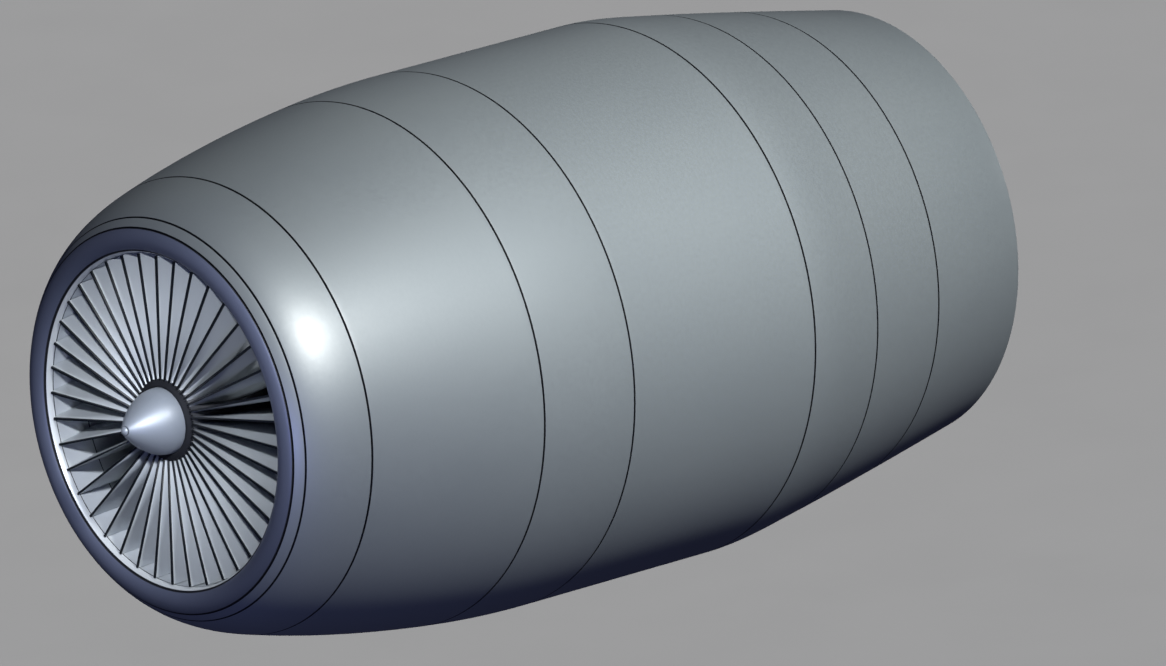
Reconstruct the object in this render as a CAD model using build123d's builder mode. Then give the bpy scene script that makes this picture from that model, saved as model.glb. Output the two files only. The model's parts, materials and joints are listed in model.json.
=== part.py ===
from build123d import *
from math import atan, cos, radians, sin, tan
import os

os.makedirs("parts", exist_ok=True)

# A turbofan engine in its long nacelle. The shaft lies along Y with the intake facing -Y and +Z up.
# A station is a distance aft of the plane of the intake lip's seam. All sizes are in millimetres and degrees.

# Nacelle line: a station, a radius and a slope at each seam between two cowls
LIP_RADIUS = 697.0
LIP_SLOPE = 46.3
BAND_STATION = 32.0
BAND_RADIUS = 727.0
BAND_SLOPE = 38.0
INLET_STATION = 257.0
INLET_RADIUS = 826.0
INLET_SLOPE = 14.5
FORWARD_STATION = 961.0
FORWARD_RADIUS = 953.0
FORWARD_SLOPE = 6.5
FAN_RING_STATION = 1370.0
CENTRE_STATION = 2244.0
CENTRE_RADIUS = 977.0
TAPER_STATION = 2586.0
TAPER_RADIUS = 936.0
TAPER_SLOPE = -8.9
REAR_STATION = 2943.0
REAR_RADIUS = 875.0
REAR_SLOPE = -10.2
EDGE_STATION = 3420.0
EDGE_RADIUS = 786.0
EDGE_SLOPE = -10.8

# Nacelle sections
SEAM_GAP = 4.0
SEAM_DEPTH = 8.0
COWL_SKIN = 12.0
COWL_FLANGE = 32.0
FLANGE_THICKNESS = 8.0
FRAME_DEPTH = 30.0
LIP_BULGE = 16.5
LIP_SKIN = 5.0
BAND_SKIN = 14.0
EDGE_THICKNESS = 14.0
EDGE_LENGTH = 16.0
EDGE_STEP = 6.0

# Intake and duct walls
LIP_INNER_RADIUS = 615.0
DUCT_RADIUS = 603.0
DUCT_WALL = 12.0
THROAT_STATION = 28.0
TRACK_STATION = 171.0
CASE_STATION = 400.0
VANE_STATION = 600.0
CASE_FLANGE = 40.0
DUCT_SLOPE = 3.0
DUCT_AFT_RADIUS = 800.0
DUCT_AFT_SLOPE = 2.5
DUCT_REAR_RADIUS = 812.0
DUCT_REAR_SLOPE = -2.0
DUCT_SKIN = 8.0
NOZZLE_SKIN = 4.0
NOZZLE_EXIT_SLOPE = -8.0

# Fan
BLADE_COUNT = 40
FAN_RADIUS = 600.0
LEADING_STATION = 13.6
HUB_FRONT_STATION = 18.0
HUB_FRONT_RADIUS = 147.0
HUB_REAR_STATION = 300.0
HUB_REAR_RADIUS = 196.0
BLADE_PHASE = 0.74
BLADE_LEAN = 6.65
BLADE_CHORD = 286.0
WEDGE_LENGTH = 143.0
TIP_EDGE = 8.0
TIP_FLAT_ANGLE = 4.3
TIP_BACK_ANGLE = 10.0
ROOT_EDGE = 6.0
ROOT_FLAT_ANGLE = 5.6
ROOT_BACK_ANGLE = 7.8
TRAILING_EDGE = 3.0
ROOT_SKEW = 5.6
STEM_WIDTH = 6.0
DOVETAIL_WIDTH = 11.0
DOVETAIL_DEPTH = 26.0
DOVETAIL_SHOULDER = 11.7
ROOT_FIT = 0.3
DISK_FRONT_STATION = 26.0
DISK_REAR_STATION = 280.0
DISK_WEB = 40.0
DISK_RIM = 42.0
DISK_HUB_RADIUS = 82.0
SHAFT_FLANGE_STATION = 200.0

# Spinner
SPINNER_NOSE_STATION = -180.7
CAP_STATION = -168.0
CAP_RADIUS = 19.0
SPINNER_RADIUS = 120.0
SPINNER_STATION = 8.0
SPINNER_SKIN = 5.0
SPINNER_WAIST_STATION = -86.0
SPINNER_WAIST_RADIUS = 89.0
SPINNER_NOSE_SLOPE = 50.0
SPINNER_SEAT_STATION = 16.0
SPINNER_SEAT = 20.0
CAP_SEAM = 1.5
TOOTH_NOTCH = 5.0
SHADOW_GAP = 2.0

# Core air path
SPLITTER_STATION = 330.0
SPLITTER_RADIUS = 300.0
SPLITTER_WALL = 16.0
CORE_FRONT_HUB = 205.0
FRAME_REAR_STATION = 800.0
CORE_THROAT_RADIUS = 240.0
CORE_THROAT_HUB = 152.0
COMPRESSOR_REAR_STATION = 1300.0
COMPRESSOR_REAR_RADIUS = 222.0
COMPRESSOR_REAR_HUB = 196.0
COMBUSTOR_RADIUS = 350.0
COMBUSTOR_INNER_RADIUS = 165.0
COMBUSTOR_REAR_STATION = 1660.0
TURBINE_FRONT_RADIUS = 300.0
TURBINE_FRONT_HUB = 236.0
LP_TURBINE_STATION = 1830.0
LP_TURBINE_RADIUS = 345.0
LP_TURBINE_HUB = 262.0
TURBINE_REAR_STATION = 2240.0
TURBINE_REAR_RADIUS = 404.0
TURBINE_REAR_HUB = 280.0
REAR_FRAME_STATION = 2380.0
CORE_WALL = 10.0
CORE_COWL_SKIN = 6.0
CORE_COWL_RADIUS = 478.0
CORE_COWL_STATION = 1550.0
CORE_NOZZLE_STATION = 2900.0
CORE_NOZZLE_RADIUS = 372.0
TAIL_CONE_STATION = 3060.0
TAIL_CONE_SLOPE = 34.0
CORE_FLANGE = 26.0
REAR_FLANGE = 21.0
DRUM_WALL = 12.0
DRUM_GAP = 12.0

# Blade rows of the core
TIP_CLEARANCE = 2.0
ROW_THICKNESS = 5.0
FRAME_STRUTS = 8
GUIDE_VANES = 38
VANE_MARGIN = 30.0
VANE_TURN = 34.0
VANE_CAMBER = 4.0
VANE_THICKNESS = 10.0
CASE_PLAY = 1.0
ROTOR_STAGGER = 35.0
VANE_STAGGER = -25.0
ROW_GAP = 8.0
BOOSTER_STAGES = 2
BOOSTER_STATION = 375.0
BOOSTER_PITCH = 100.0
BOOSTER_CHORD = 38.0
COMPRESSOR_STAGES = 5
COMPRESSOR_STATION = 850.0
COMPRESSOR_PITCH = 88.0
COMPRESSOR_CHORD = 32.0
TURBINE_BLADES = 34
TURBINE_NOZZLE_LENGTH = 60.0
TURBINE_STAGES = 3
TURBINE_STATION = 1905.0
TURBINE_PITCH = 110.0
TURBINE_CHORD = 40.0
CORE_WHEEL_LENGTH = 36.0
WHEEL_RIM = 30.0
WHEEL_WEB = 14.0
STRUT_THICKNESS = 16.0
STRUT_CHORD = 130.0
REAR_STRUT_CHORD = 100.0
FRAME_STRUT_RADIUS = 225.0
FRAME_STRUT_HEIGHT = 170.0

# Combustor
LINER_SKIN = 3.0
LINER_FRONT = 34.0
LINER_HALF_HEIGHT = 58.0
LINER_TAPER = 60.0
DIFFUSER_LENGTH = 90.0
DIFFUSER_STRUT = 36.0
FUEL_NOZZLES = 12
FUEL_STEM_RADIUS = 9.0
FUEL_TIP_RADIUS = 14.0
FUEL_FLANGE_RADIUS = 24.0
BOSS_RISE = 8.0
CORE_BLADES = 26

# Shafts and bearings
LP_SHAFT_RADIUS = 45.0
LP_SHAFT_BORE = 30.0
CORE_SHAFT_BORE = 52.0
CORE_SHAFT_RADIUS = 72.0
SHAFT_FIT = 0.3
RACE_THICKNESS = 9.0
ROLLER_DIAMETER = 14.0
ROLLER_LENGTH = 22.0
ROLLER_COUNT = 12
RACE_LENGTH = 34.0
ROLLER_FIT = 0.05
BEARING_FIT = 0.3
CAGE_THICKNESS = 5.0
CORE_FLANGE_RADIUS = 120.0
LP_FLANGE_RADIUS = 100.0
SUPPORT_FLANGE_RADIUS = 130.0
SUPPORT_OFFSET = 40.0
LP_FRONT_BEARING = 300.0
CORE_FRONT_BEARING = 765.0
CORE_REAR_BEARING = 1600.0
LP_REAR_BEARING = 2300.0

# Mounts on the hidden flank
MOUNT_LENGTH = 240.0
MOUNT_HEIGHT = 260.0
MOUNT_PLAY = 8.0
PAD_RISE = 26.0
MOUNT_PLATE = 40.0
FORWARD_MOUNT_STATION = 500.0
FORWARD_MOUNT_FACE = 838.0
AFT_MOUNT_STATION = 1990.0
AFT_MOUNT_FACE = 955.0
MOUNT_BOLT_RADIUS = 13.0
MOUNT_BOLT_SPACING_Y = 160.0
MOUNT_BOLT_SPACING_Z = 180.0
MOUNT_BOLT_DEPTH = 60.0

CASE_SPAN = VANE_STATION - CASE_STATION

# The origin is on the shaft line, halfway between the spinner's nose and the nozzle's trailing edge
ORIGIN_STATION = (SPINNER_NOSE_STATION + EDGE_STATION) / 2


def at(station):
    return station - ORIGIN_STATION


def save(piece, label):
    piece.part.label = label
    export_step(piece.part, f"parts/{label}.step")


def direction(slope):
    return (sin(radians(slope)), cos(radians(slope)))


def seam(station, radius, slope):
    return {"station": station, "radius": radius, "slope": slope}


def outline(*corners):
    """Face beside the shaft line, from corners given as radius and station."""
    with BuildSketch() as section:
        with BuildLine():
            Polyline(*[(radius, at(station)) for radius, station in corners], close=True)
        make_face()
    return section.sketch


def turns(count, start=0.0):
    """Even turns about the shaft line, clockwise from the top as seen from the front."""
    return [Location((0, 0, 0), (0, start + 360 / count * index, 0)) for index in range(count)]


def row_places(stations, count, radius, stagger):
    """Places of the blades of several rows, each blade standing out from the shaft line."""
    standing = [Location((0, at(station), radius), (0, 0, stagger)) for station in stations]
    return [turn * place for place in standing for turn in turns(count)]


def between(station, front, rear):
    """Radius of the straight line between two (station, radius) points."""
    share = (station - front[0]) / (rear[0] - front[0])
    return front[1] + share * (rear[1] - front[1])


lip_seam = seam(0.0, LIP_RADIUS, LIP_SLOPE)
band_seam = seam(BAND_STATION, BAND_RADIUS, BAND_SLOPE)
inlet_seam = seam(INLET_STATION, INLET_RADIUS, INLET_SLOPE)
forward_seam = seam(FORWARD_STATION, FORWARD_RADIUS, FORWARD_SLOPE)
fan_ring_seam = seam(FAN_RING_STATION, CENTRE_RADIUS, 0.0)
centre_seam = seam(CENTRE_STATION, CENTRE_RADIUS, 0.0)
taper_seam = seam(TAPER_STATION, TAPER_RADIUS, TAPER_SLOPE)
rear_seam = seam(REAR_STATION, REAR_RADIUS, REAR_SLOPE)


# Cowl rings: a skin that follows the nacelle line, with a flange at each end that butts on a frame
def cowl_outline(front, rear):
    reach = SEAM_GAP / 2
    front_station = front["station"] + reach
    rear_station = rear["station"] - reach
    front_radius = front["radius"] + reach * tan(radians(front["slope"]))
    rear_radius = rear["radius"] - reach * tan(radians(rear["slope"]))
    front_way = direction(front["slope"])
    rear_way = direction(rear["slope"])
    with BuildSketch() as section:
        with BuildLine():
            skin = Spline(
                (front_radius, at(front_station)),
                (rear_radius, at(rear_station)),
                tangents=[front_way, rear_way],
            )
            rear_end = Polyline(
                skin @ 1,
                (rear["radius"] - COWL_FLANGE, at(rear_station)),
                (rear["radius"] - COWL_FLANGE, at(rear_station - FLANGE_THICKNESS)),
                (rear_radius - COWL_SKIN, at(rear_station - FLANGE_THICKNESS)),
            )
            front_end = Polyline(
                skin @ 0,
                (front["radius"] - COWL_FLANGE, at(front_station)),
                (front["radius"] - COWL_FLANGE, at(front_station + FLANGE_THICKNESS)),
                (front_radius - COWL_SKIN, at(front_station + FLANGE_THICKNESS)),
            )
            Spline(front_end @ 1, rear_end @ 1, tangents=[front_way, rear_way])
        make_face()
    return section.sketch


def frame_outline(place, inner_radius, depth=SEAM_DEPTH):
    """Flat ring that fills a seam up to a little below the skin."""
    front = place["station"] - SEAM_GAP / 2
    rear = place["station"] + SEAM_GAP / 2
    outer_radius = place["radius"] - depth
    return outline((inner_radius, front), (outer_radius, front), (outer_radius, rear), (inner_radius, rear))


with BuildPart() as inlet_cowl:
    revolve(cowl_outline(band_seam, inlet_seam), axis=Axis.Y)
save(inlet_cowl, "inlet_cowl")

with BuildPart() as forward_cowl:
    revolve(cowl_outline(inlet_seam, forward_seam), axis=Axis.Y)
    with Locations((-FORWARD_MOUNT_FACE, at(FORWARD_MOUNT_STATION), 0)):
        Box(
            FORWARD_MOUNT_FACE / 3,
            MOUNT_LENGTH + 2 * MOUNT_PLAY,
            MOUNT_HEIGHT + 2 * MOUNT_PLAY,
            mode=Mode.SUBTRACT,
        )
save(forward_cowl, "forward_cowl")

with BuildPart() as fan_cowl_ring:
    revolve(cowl_outline(forward_seam, fan_ring_seam), axis=Axis.Y)
save(fan_cowl_ring, "fan_cowl_ring")

with BuildPart() as centre_cowl:
    revolve(cowl_outline(fan_ring_seam, centre_seam), axis=Axis.Y)
    with Locations((-AFT_MOUNT_FACE, at(AFT_MOUNT_STATION), 0)):
        Box(
            AFT_MOUNT_FACE / 3,
            MOUNT_LENGTH + 2 * MOUNT_PLAY,
            MOUNT_HEIGHT + 2 * MOUNT_PLAY,
            mode=Mode.SUBTRACT,
        )
save(centre_cowl, "centre_cowl")

with BuildPart() as taper_cowl:
    revolve(cowl_outline(centre_seam, taper_seam), axis=Axis.Y)
save(taper_cowl, "taper_cowl")

with BuildPart() as rear_cowl:
    revolve(cowl_outline(taper_seam, rear_seam), axis=Axis.Y)
save(rear_cowl, "rear_cowl")


# Nozzle cowl: its skin closes on the exhaust nozzle at a thin trailing edge
nozzle_edge_radius = EDGE_RADIUS - EDGE_THICKNESS
nozzle_end_station = EDGE_STATION - EDGE_LENGTH
with BuildPart() as nozzle_cowl:
    with BuildSketch():
        with BuildLine():
            rear_way = direction(REAR_SLOPE)
            edge_way = direction(EDGE_SLOPE)
            front_station = REAR_STATION + SEAM_GAP / 2
            front_radius = REAR_RADIUS + SEAM_GAP / 2 * tan(radians(REAR_SLOPE))
            skin = Spline(
                (front_radius, at(front_station)),
                (EDGE_RADIUS, at(EDGE_STATION)),
                tangents=[rear_way, edge_way],
            )
            front_end = Polyline(
                skin @ 0,
                (REAR_RADIUS - COWL_FLANGE, at(front_station)),
                (REAR_RADIUS - COWL_FLANGE, at(front_station + FLANGE_THICKNESS)),
                (front_radius - COWL_SKIN, at(front_station + FLANGE_THICKNESS)),
            )
            rear_end = Polyline(
                skin @ 1,
                (nozzle_edge_radius, at(EDGE_STATION)),
                (nozzle_edge_radius, at(nozzle_end_station)),
                (nozzle_edge_radius + EDGE_STEP, at(nozzle_end_station)),
            )
            Spline(front_end @ 1, rear_end @ 1, tangents=[rear_way, edge_way])
        make_face()
    revolve(axis=Axis.Y)
save(nozzle_cowl, "nozzle_cowl")


# Intake lip: a thin arc in section, from the inner seam round the front to the outer seam
lip_reach = SEAM_GAP / 2 * tan(radians(LIP_SLOPE))
lip_middle = (LIP_INNER_RADIUS + LIP_RADIUS) / 2
lip_inner_end = LIP_INNER_RADIUS + lip_reach
lip_outer_end = LIP_RADIUS - lip_reach
lip_rear = -SEAM_GAP / 2
lip_foot = LIP_SKIN / sin(radians(LIP_SLOPE))
with BuildPart() as inlet_lip:
    with BuildSketch():
        with BuildLine():
            nose = ThreePointArc(
                (lip_inner_end, at(lip_rear)), (lip_middle, at(-LIP_BULGE)), (lip_outer_end, at(lip_rear))
            )
            inside = ThreePointArc(
                (lip_inner_end + lip_foot, at(lip_rear)),
                (lip_middle, at(LIP_SKIN - LIP_BULGE)),
                (lip_outer_end - lip_foot, at(lip_rear)),
            )
            Line(nose @ 0, inside @ 0)
            Line(nose @ 1, inside @ 1)
        make_face()
    revolve(axis=Axis.Y)
save(inlet_lip, "inlet_lip")

with BuildPart() as lip_band:
    with BuildSketch():
        with BuildLine():
            band_front = (LIP_RADIUS + lip_reach, at(SEAM_GAP / 2))
            band_reach = SEAM_GAP / 2 * tan(radians(BAND_SLOPE))
            band_rear = (BAND_RADIUS - band_reach, at(BAND_STATION - SEAM_GAP / 2))
            skin = Spline(band_front, band_rear, tangents=[direction(LIP_SLOPE), direction(BAND_SLOPE)])
            Polyline(
                skin @ 1,
                skin @ 1 - Vector(BAND_SKIN, 0),
                skin @ 0 - Vector(BAND_SKIN, 0),
                skin @ 0,
            )
        make_face()
    revolve(axis=Axis.Y)
save(lip_band, "lip_band")

# Throat ring: from the lip's inner seam to the fan's own wall
with BuildPart() as throat_ring:
    with BuildSketch():
        with BuildLine():
            throat = Spline(
                (LIP_INNER_RADIUS - lip_reach, at(SEAM_GAP / 2)),
                (DUCT_RADIUS, at(THROAT_STATION - SHADOW_GAP)),
                tangents=[direction(-LIP_SLOPE), (0, 1)],
            )
            Polyline(
                throat @ 1,
                (DUCT_RADIUS + SHADOW_GAP, at(THROAT_STATION)),
                (DUCT_RADIUS + DUCT_WALL, at(THROAT_STATION)),
                (LIP_INNER_RADIUS + DUCT_WALL, at(SEAM_GAP / 2)),
                throat @ 0,
            )
        make_face()
    revolve(axis=Axis.Y)
save(throat_ring, "throat_ring")

duct_outer_radius = DUCT_RADIUS + DUCT_WALL
flange_radius = duct_outer_radius + CASE_FLANGE
with BuildPart() as fan_track:
    revolve(
        outline(
            (DUCT_RADIUS + SHADOW_GAP, THROAT_STATION),
            (DUCT_RADIUS, THROAT_STATION + SHADOW_GAP),
            (DUCT_RADIUS, TRACK_STATION - SHADOW_GAP),
            (DUCT_RADIUS + SHADOW_GAP, TRACK_STATION),
            (duct_outer_radius, TRACK_STATION),
            (duct_outer_radius, THROAT_STATION),
        ),
        axis=Axis.Y,
    )
save(fan_track, "fan_track")

bulkhead_seat = INLET_STATION + SEAM_GAP / 2
with BuildPart() as fan_case:
    revolve(
        outline(
            (DUCT_RADIUS + SHADOW_GAP, TRACK_STATION),
            (DUCT_RADIUS, TRACK_STATION + SHADOW_GAP),
            (DUCT_RADIUS, CASE_STATION),
            (flange_radius, CASE_STATION),
            (flange_radius, CASE_STATION - FLANGE_THICKNESS),
            (duct_outer_radius, CASE_STATION - FLANGE_THICKNESS),
            (duct_outer_radius, bulkhead_seat + FLANGE_THICKNESS),
            (flange_radius, bulkhead_seat + FLANGE_THICKNESS),
            (flange_radius, bulkhead_seat),
            (duct_outer_radius, bulkhead_seat),
            (duct_outer_radius, TRACK_STATION),
        ),
        axis=Axis.Y,
    )
save(fan_case, "fan_case")


# Bulkheads and frames: flat rings in the seams, which carry the cowls
with BuildPart() as lip_bulkhead:
    revolve(frame_outline(lip_seam, LIP_INNER_RADIUS + SEAM_DEPTH / 2, SEAM_DEPTH / 2), axis=Axis.Y)
save(lip_bulkhead, "lip_bulkhead")

with BuildPart() as forward_bulkhead:
    revolve(frame_outline(inlet_seam, duct_outer_radius + CASE_PLAY), axis=Axis.Y)
save(forward_bulkhead, "forward_bulkhead")

with BuildPart() as aft_bulkhead:
    revolve(frame_outline(centre_seam, DUCT_AFT_RADIUS + SHADOW_GAP), axis=Axis.Y)
save(aft_bulkhead, "aft_bulkhead")

with BuildPart() as nozzle_bulkhead:
    revolve(frame_outline(rear_seam, DUCT_REAR_RADIUS + SHADOW_GAP), axis=Axis.Y)
save(nozzle_bulkhead, "nozzle_bulkhead")

with BuildPart() as cowl_frames:
    for place in (band_seam, forward_seam, fan_ring_seam, taper_seam):
        revolve(frame_outline(place, place["radius"] - FRAME_DEPTH), axis=Axis.Y)
save(cowl_frames, "cowl_frames")


# Fan disk and blades: forty separate blades, each with a dovetail root in its own skewed slot
hub_front = (HUB_FRONT_STATION, HUB_FRONT_RADIUS)
hub_rear = (HUB_REAR_STATION, HUB_REAR_RADIUS)
hub_slope = atan((HUB_REAR_RADIUS - HUB_FRONT_RADIUS) / (HUB_REAR_STATION - HUB_FRONT_STATION))
trim_station = LEADING_STATION + BLADE_CHORD + TIP_EDGE


def blade_section(edge, flat_angle, back_angle):
    """Section of a blade across its height: a blunt leading edge, a flat side and a back that curves in."""
    with BuildSketch() as section:
        with BuildLine():
            flat_end = edge / -2 + BLADE_CHORD * tan(radians(flat_angle))
            wedge_end = edge / 2 + WEDGE_LENGTH * tan(radians(back_angle))
            flat = Line((edge / -2, 0), (flat_end, BLADE_CHORD))
            wedge = Line((edge / 2, 0), (wedge_end, WEDGE_LENGTH))
            back = TangentArc(wedge @ 1, flat @ 1 + Vector(TRAILING_EDGE, 0), tangent=wedge % 1)
            Line(flat @ 1, back @ 1)
            Line(flat @ 0, wedge @ 0)
        make_face()
    return section.sketch


root_level = HUB_FRONT_RADIUS - ROOT_EDGE
tip_level = FAN_RADIUS + TIP_EDGE
edge_start = HUB_FRONT_RADIUS * sin(radians(BLADE_PHASE))
lean = tan(radians(BLADE_LEAN))
root_edge_side = edge_start + (root_level - HUB_FRONT_RADIUS) * lean
tip_edge_side = edge_start + (tip_level - HUB_FRONT_RADIUS) * lean
root_plane = Plane(origin=(root_edge_side, at(LEADING_STATION), root_level))
tip_plane = Plane(origin=(tip_edge_side, at(LEADING_STATION), tip_level))

# The root runs under the middle of the blade, skewed as the blade is and sloped as the disk's rim is
skew = radians(ROOT_SKEW)
disk_middle = (DISK_FRONT_STATION + DISK_REAR_STATION) / 2
rim_middle = between(disk_middle, hub_front, hub_rear)
root_side = edge_start + (disk_middle - LEADING_STATION) * tan(skew) + ROOT_EDGE / 2
slot_plane = Plane(
    origin=(root_side, at(disk_middle), rim_middle),
    x_dir=(-cos(skew), sin(skew), 0),
    z_dir=(sin(skew) * cos(hub_slope), cos(skew) * cos(hub_slope), sin(hub_slope)),
)


def dovetail(play, rise):
    """Outline of a blade root, or of its slot when play is added all round."""
    neck = STEM_WIDTH / 2 + play
    foot = DOVETAIL_WIDTH / 2 + play
    depth = DOVETAIL_DEPTH + play
    shoulder = DOVETAIL_SHOULDER - play
    with BuildSketch(slot_plane) as section:
        with BuildLine():
            Polyline(
                (-neck, rise),
                (-neck, -shoulder),
                (-foot, -shoulder - (DOVETAIL_WIDTH - STEM_WIDTH) / 2),
                (-foot, -depth),
                (foot, -depth),
                (foot, -shoulder - (DOVETAIL_WIDTH - STEM_WIDTH) / 2),
                (neck, -shoulder),
                (neck, rise),
                close=True,
            )
        make_face()
    return section.sketch


rim_front = between(DISK_FRONT_STATION, hub_front, hub_rear)
rim_rear = between(DISK_REAR_STATION, hub_front, hub_rear)
disk_length = DISK_REAR_STATION - DISK_FRONT_STATION
with BuildPart() as blade_root:
    extrude(dovetail(0.0, SHADOW_GAP), amount=disk_length, both=True)
    revolve(
        outline(
            (rim_front / 2, DISK_FRONT_STATION),
            (rim_front / 2, DISK_REAR_STATION),
            (rim_rear * 2, DISK_REAR_STATION),
            (rim_rear * 2, DISK_FRONT_STATION),
        ),
        axis=Axis.Y,
        mode=Mode.INTERSECT,
    )

with BuildPart() as blade:
    with BuildSketch(root_plane):
        add(blade_section(ROOT_EDGE, ROOT_FLAT_ANGLE, ROOT_BACK_ANGLE))
    with BuildSketch(tip_plane):
        add(blade_section(TIP_EDGE, TIP_FLAT_ANGLE, TIP_BACK_ANGLE))
    loft(ruled=True)
    revolve(
        outline(
            (between(0.0, hub_front, hub_rear) + ROOT_FIT, 0.0),
            (FAN_RADIUS, 0.0),
            (FAN_RADIUS, trim_station),
            (between(trim_station, hub_front, hub_rear) + ROOT_FIT, trim_station),
        ),
        axis=Axis.Y,
        mode=Mode.INTERSECT,
    )
    add(blade_root.part)

with BuildPart() as fan_blades:
    with Locations(*turns(BLADE_COUNT)):
        add(blade.part)
save(fan_blades, "fan_blades")

with BuildPart() as slot:
    extrude(dovetail(ROOT_FIT, DOVETAIL_DEPTH), amount=disk_length, both=True)
with BuildPart() as fan_disk:
    revolve(
        outline(
            (rim_front, DISK_FRONT_STATION),
            (rim_rear, DISK_REAR_STATION),
            (rim_rear - DISK_RIM, DISK_REAR_STATION),
            (rim_middle - DISK_RIM, disk_middle + DISK_WEB / 2),
            (DISK_HUB_RADIUS, disk_middle + DISK_WEB / 2),
            (DISK_HUB_RADIUS, SHAFT_FLANGE_STATION),
            (LP_SHAFT_RADIUS + SHAFT_FIT, SHAFT_FLANGE_STATION),
            (LP_SHAFT_RADIUS + SHAFT_FIT, disk_middle - DISK_WEB),
            (DISK_HUB_RADIUS, disk_middle - DISK_WEB),
            (DISK_HUB_RADIUS, disk_middle - DISK_WEB / 2),
            (rim_middle - DISK_RIM - FLANGE_THICKNESS, disk_middle - DISK_WEB / 2),
            (rim_front - DISK_RIM, DISK_FRONT_STATION),
        ),
        axis=Axis.Y,
    )
    with Locations(*turns(BLADE_COUNT)):
        add(slot.part, mode=Mode.SUBTRACT)
save(fan_disk, "fan_disk")

# Toothed ring that keeps the blades in their slots, and the spinner that seats on its ledge
ledge_radius = SPINNER_RADIUS - SPINNER_SEAT
notch_turns = turns(BLADE_COUNT, BLADE_PHASE + 180 / BLADE_COUNT)
notch_place = Location((0, at(HUB_FRONT_STATION), HUB_FRONT_RADIUS))
with BuildPart() as blade_retaining_ring:
    revolve(
        outline(
            (SPINNER_RADIUS + SHADOW_GAP, SPINNER_STATION),
            (HUB_FRONT_RADIUS, HUB_FRONT_STATION),
            (HUB_FRONT_RADIUS, DISK_FRONT_STATION),
            (ledge_radius, DISK_FRONT_STATION),
            (ledge_radius, SPINNER_SEAT_STATION),
            (SPINNER_RADIUS + SHADOW_GAP, SPINNER_SEAT_STATION),
        ),
        axis=Axis.Y,
    )
    with Locations(*[turn * notch_place for turn in notch_turns]):
        Cylinder(TOOTH_NOTCH, HUB_FRONT_RADIUS / 2, rotation=(90, 0, 0), mode=Mode.SUBTRACT)
save(blade_retaining_ring, "blade_retaining_ring")

with BuildPart() as spinner:
    with BuildSketch():
        with BuildLine():
            bullet = Spline(
                (SPINNER_RADIUS, at(SPINNER_STATION)),
                (SPINNER_WAIST_RADIUS, at(SPINNER_WAIST_STATION)),
                (CAP_RADIUS, at(CAP_STATION)),
                tangents=[(0, -1), direction(180 + SPINNER_NOSE_SLOPE)],
            )
            hollow = Spline(
                (SPINNER_RADIUS - SPINNER_SKIN, at(SPINNER_STATION)),
                (SPINNER_WAIST_RADIUS - SPINNER_SKIN, at(SPINNER_WAIST_STATION + SPINNER_SKIN / 2)),
                (CAP_RADIUS - SPINNER_SKIN, at(CAP_STATION + SPINNER_SKIN)),
                tangents=[(0, -1), direction(180 + SPINNER_NOSE_SLOPE)],
            )
            Line(bullet @ 1, hollow @ 1)
            Polyline(
                bullet @ 0,
                (SPINNER_RADIUS, at(SPINNER_SEAT_STATION)),
                (SPINNER_RADIUS - SPINNER_SKIN, at(SPINNER_SEAT_STATION)),
                hollow @ 0,
            )
        make_face()
    revolve(axis=Axis.Y)
save(spinner, "spinner")

# Nose cap: closes the spinner and plugs into its open tip
with BuildPart() as spinner_nose_cap:
    with BuildSketch():
        with BuildLine():
            cap_front = CAP_STATION - CAP_SEAM
            cap_edge_radius = CAP_RADIUS - CAP_SEAM
            dome = TangentArc((0, at(SPINNER_NOSE_STATION)), (cap_edge_radius, at(cap_front)), tangent=(1, 0))
            plug_radius = CAP_RADIUS - SPINNER_SKIN - SHAFT_FIT
            Polyline(
                dome @ 1,
                (plug_radius, at(cap_front)),
                (plug_radius, at(CAP_STATION + SPINNER_SKIN)),
                (0, at(CAP_STATION + SPINNER_SKIN)),
                dome @ 0,
            )
        make_face()
    revolve(axis=Axis.Y)
save(spinner_nose_cap, "spinner_nose_cap")


# Outlet guide vanes: a ring that is part of the duct wall, a ring round the core, and the vanes between them
core_ring_radius = SPLITTER_RADIUS + SPLITTER_WALL
case_wall_radius = SPLITTER_RADIUS - CASE_PLAY
with BuildPart() as guide_vane:
    with BuildSketch(Plane.XY.offset(core_ring_radius - SPLITTER_WALL / 2)):
        with BuildLine():
            vane_front = (-VANE_TURN, at(CASE_STATION + VANE_MARGIN))
            vane_rear = (0, at(VANE_STATION - VANE_MARGIN))
            vane_middle = at((CASE_STATION + VANE_STATION) / 2)
            ThreePointArc(vane_front, (VANE_CAMBER, vane_middle), vane_rear)
            ThreePointArc(vane_front, (VANE_CAMBER - VANE_THICKNESS, vane_middle), vane_rear)
        make_face()
    extrude(amount=DUCT_RADIUS + DUCT_WALL / 2 - core_ring_radius + SPLITTER_WALL / 2)

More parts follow.
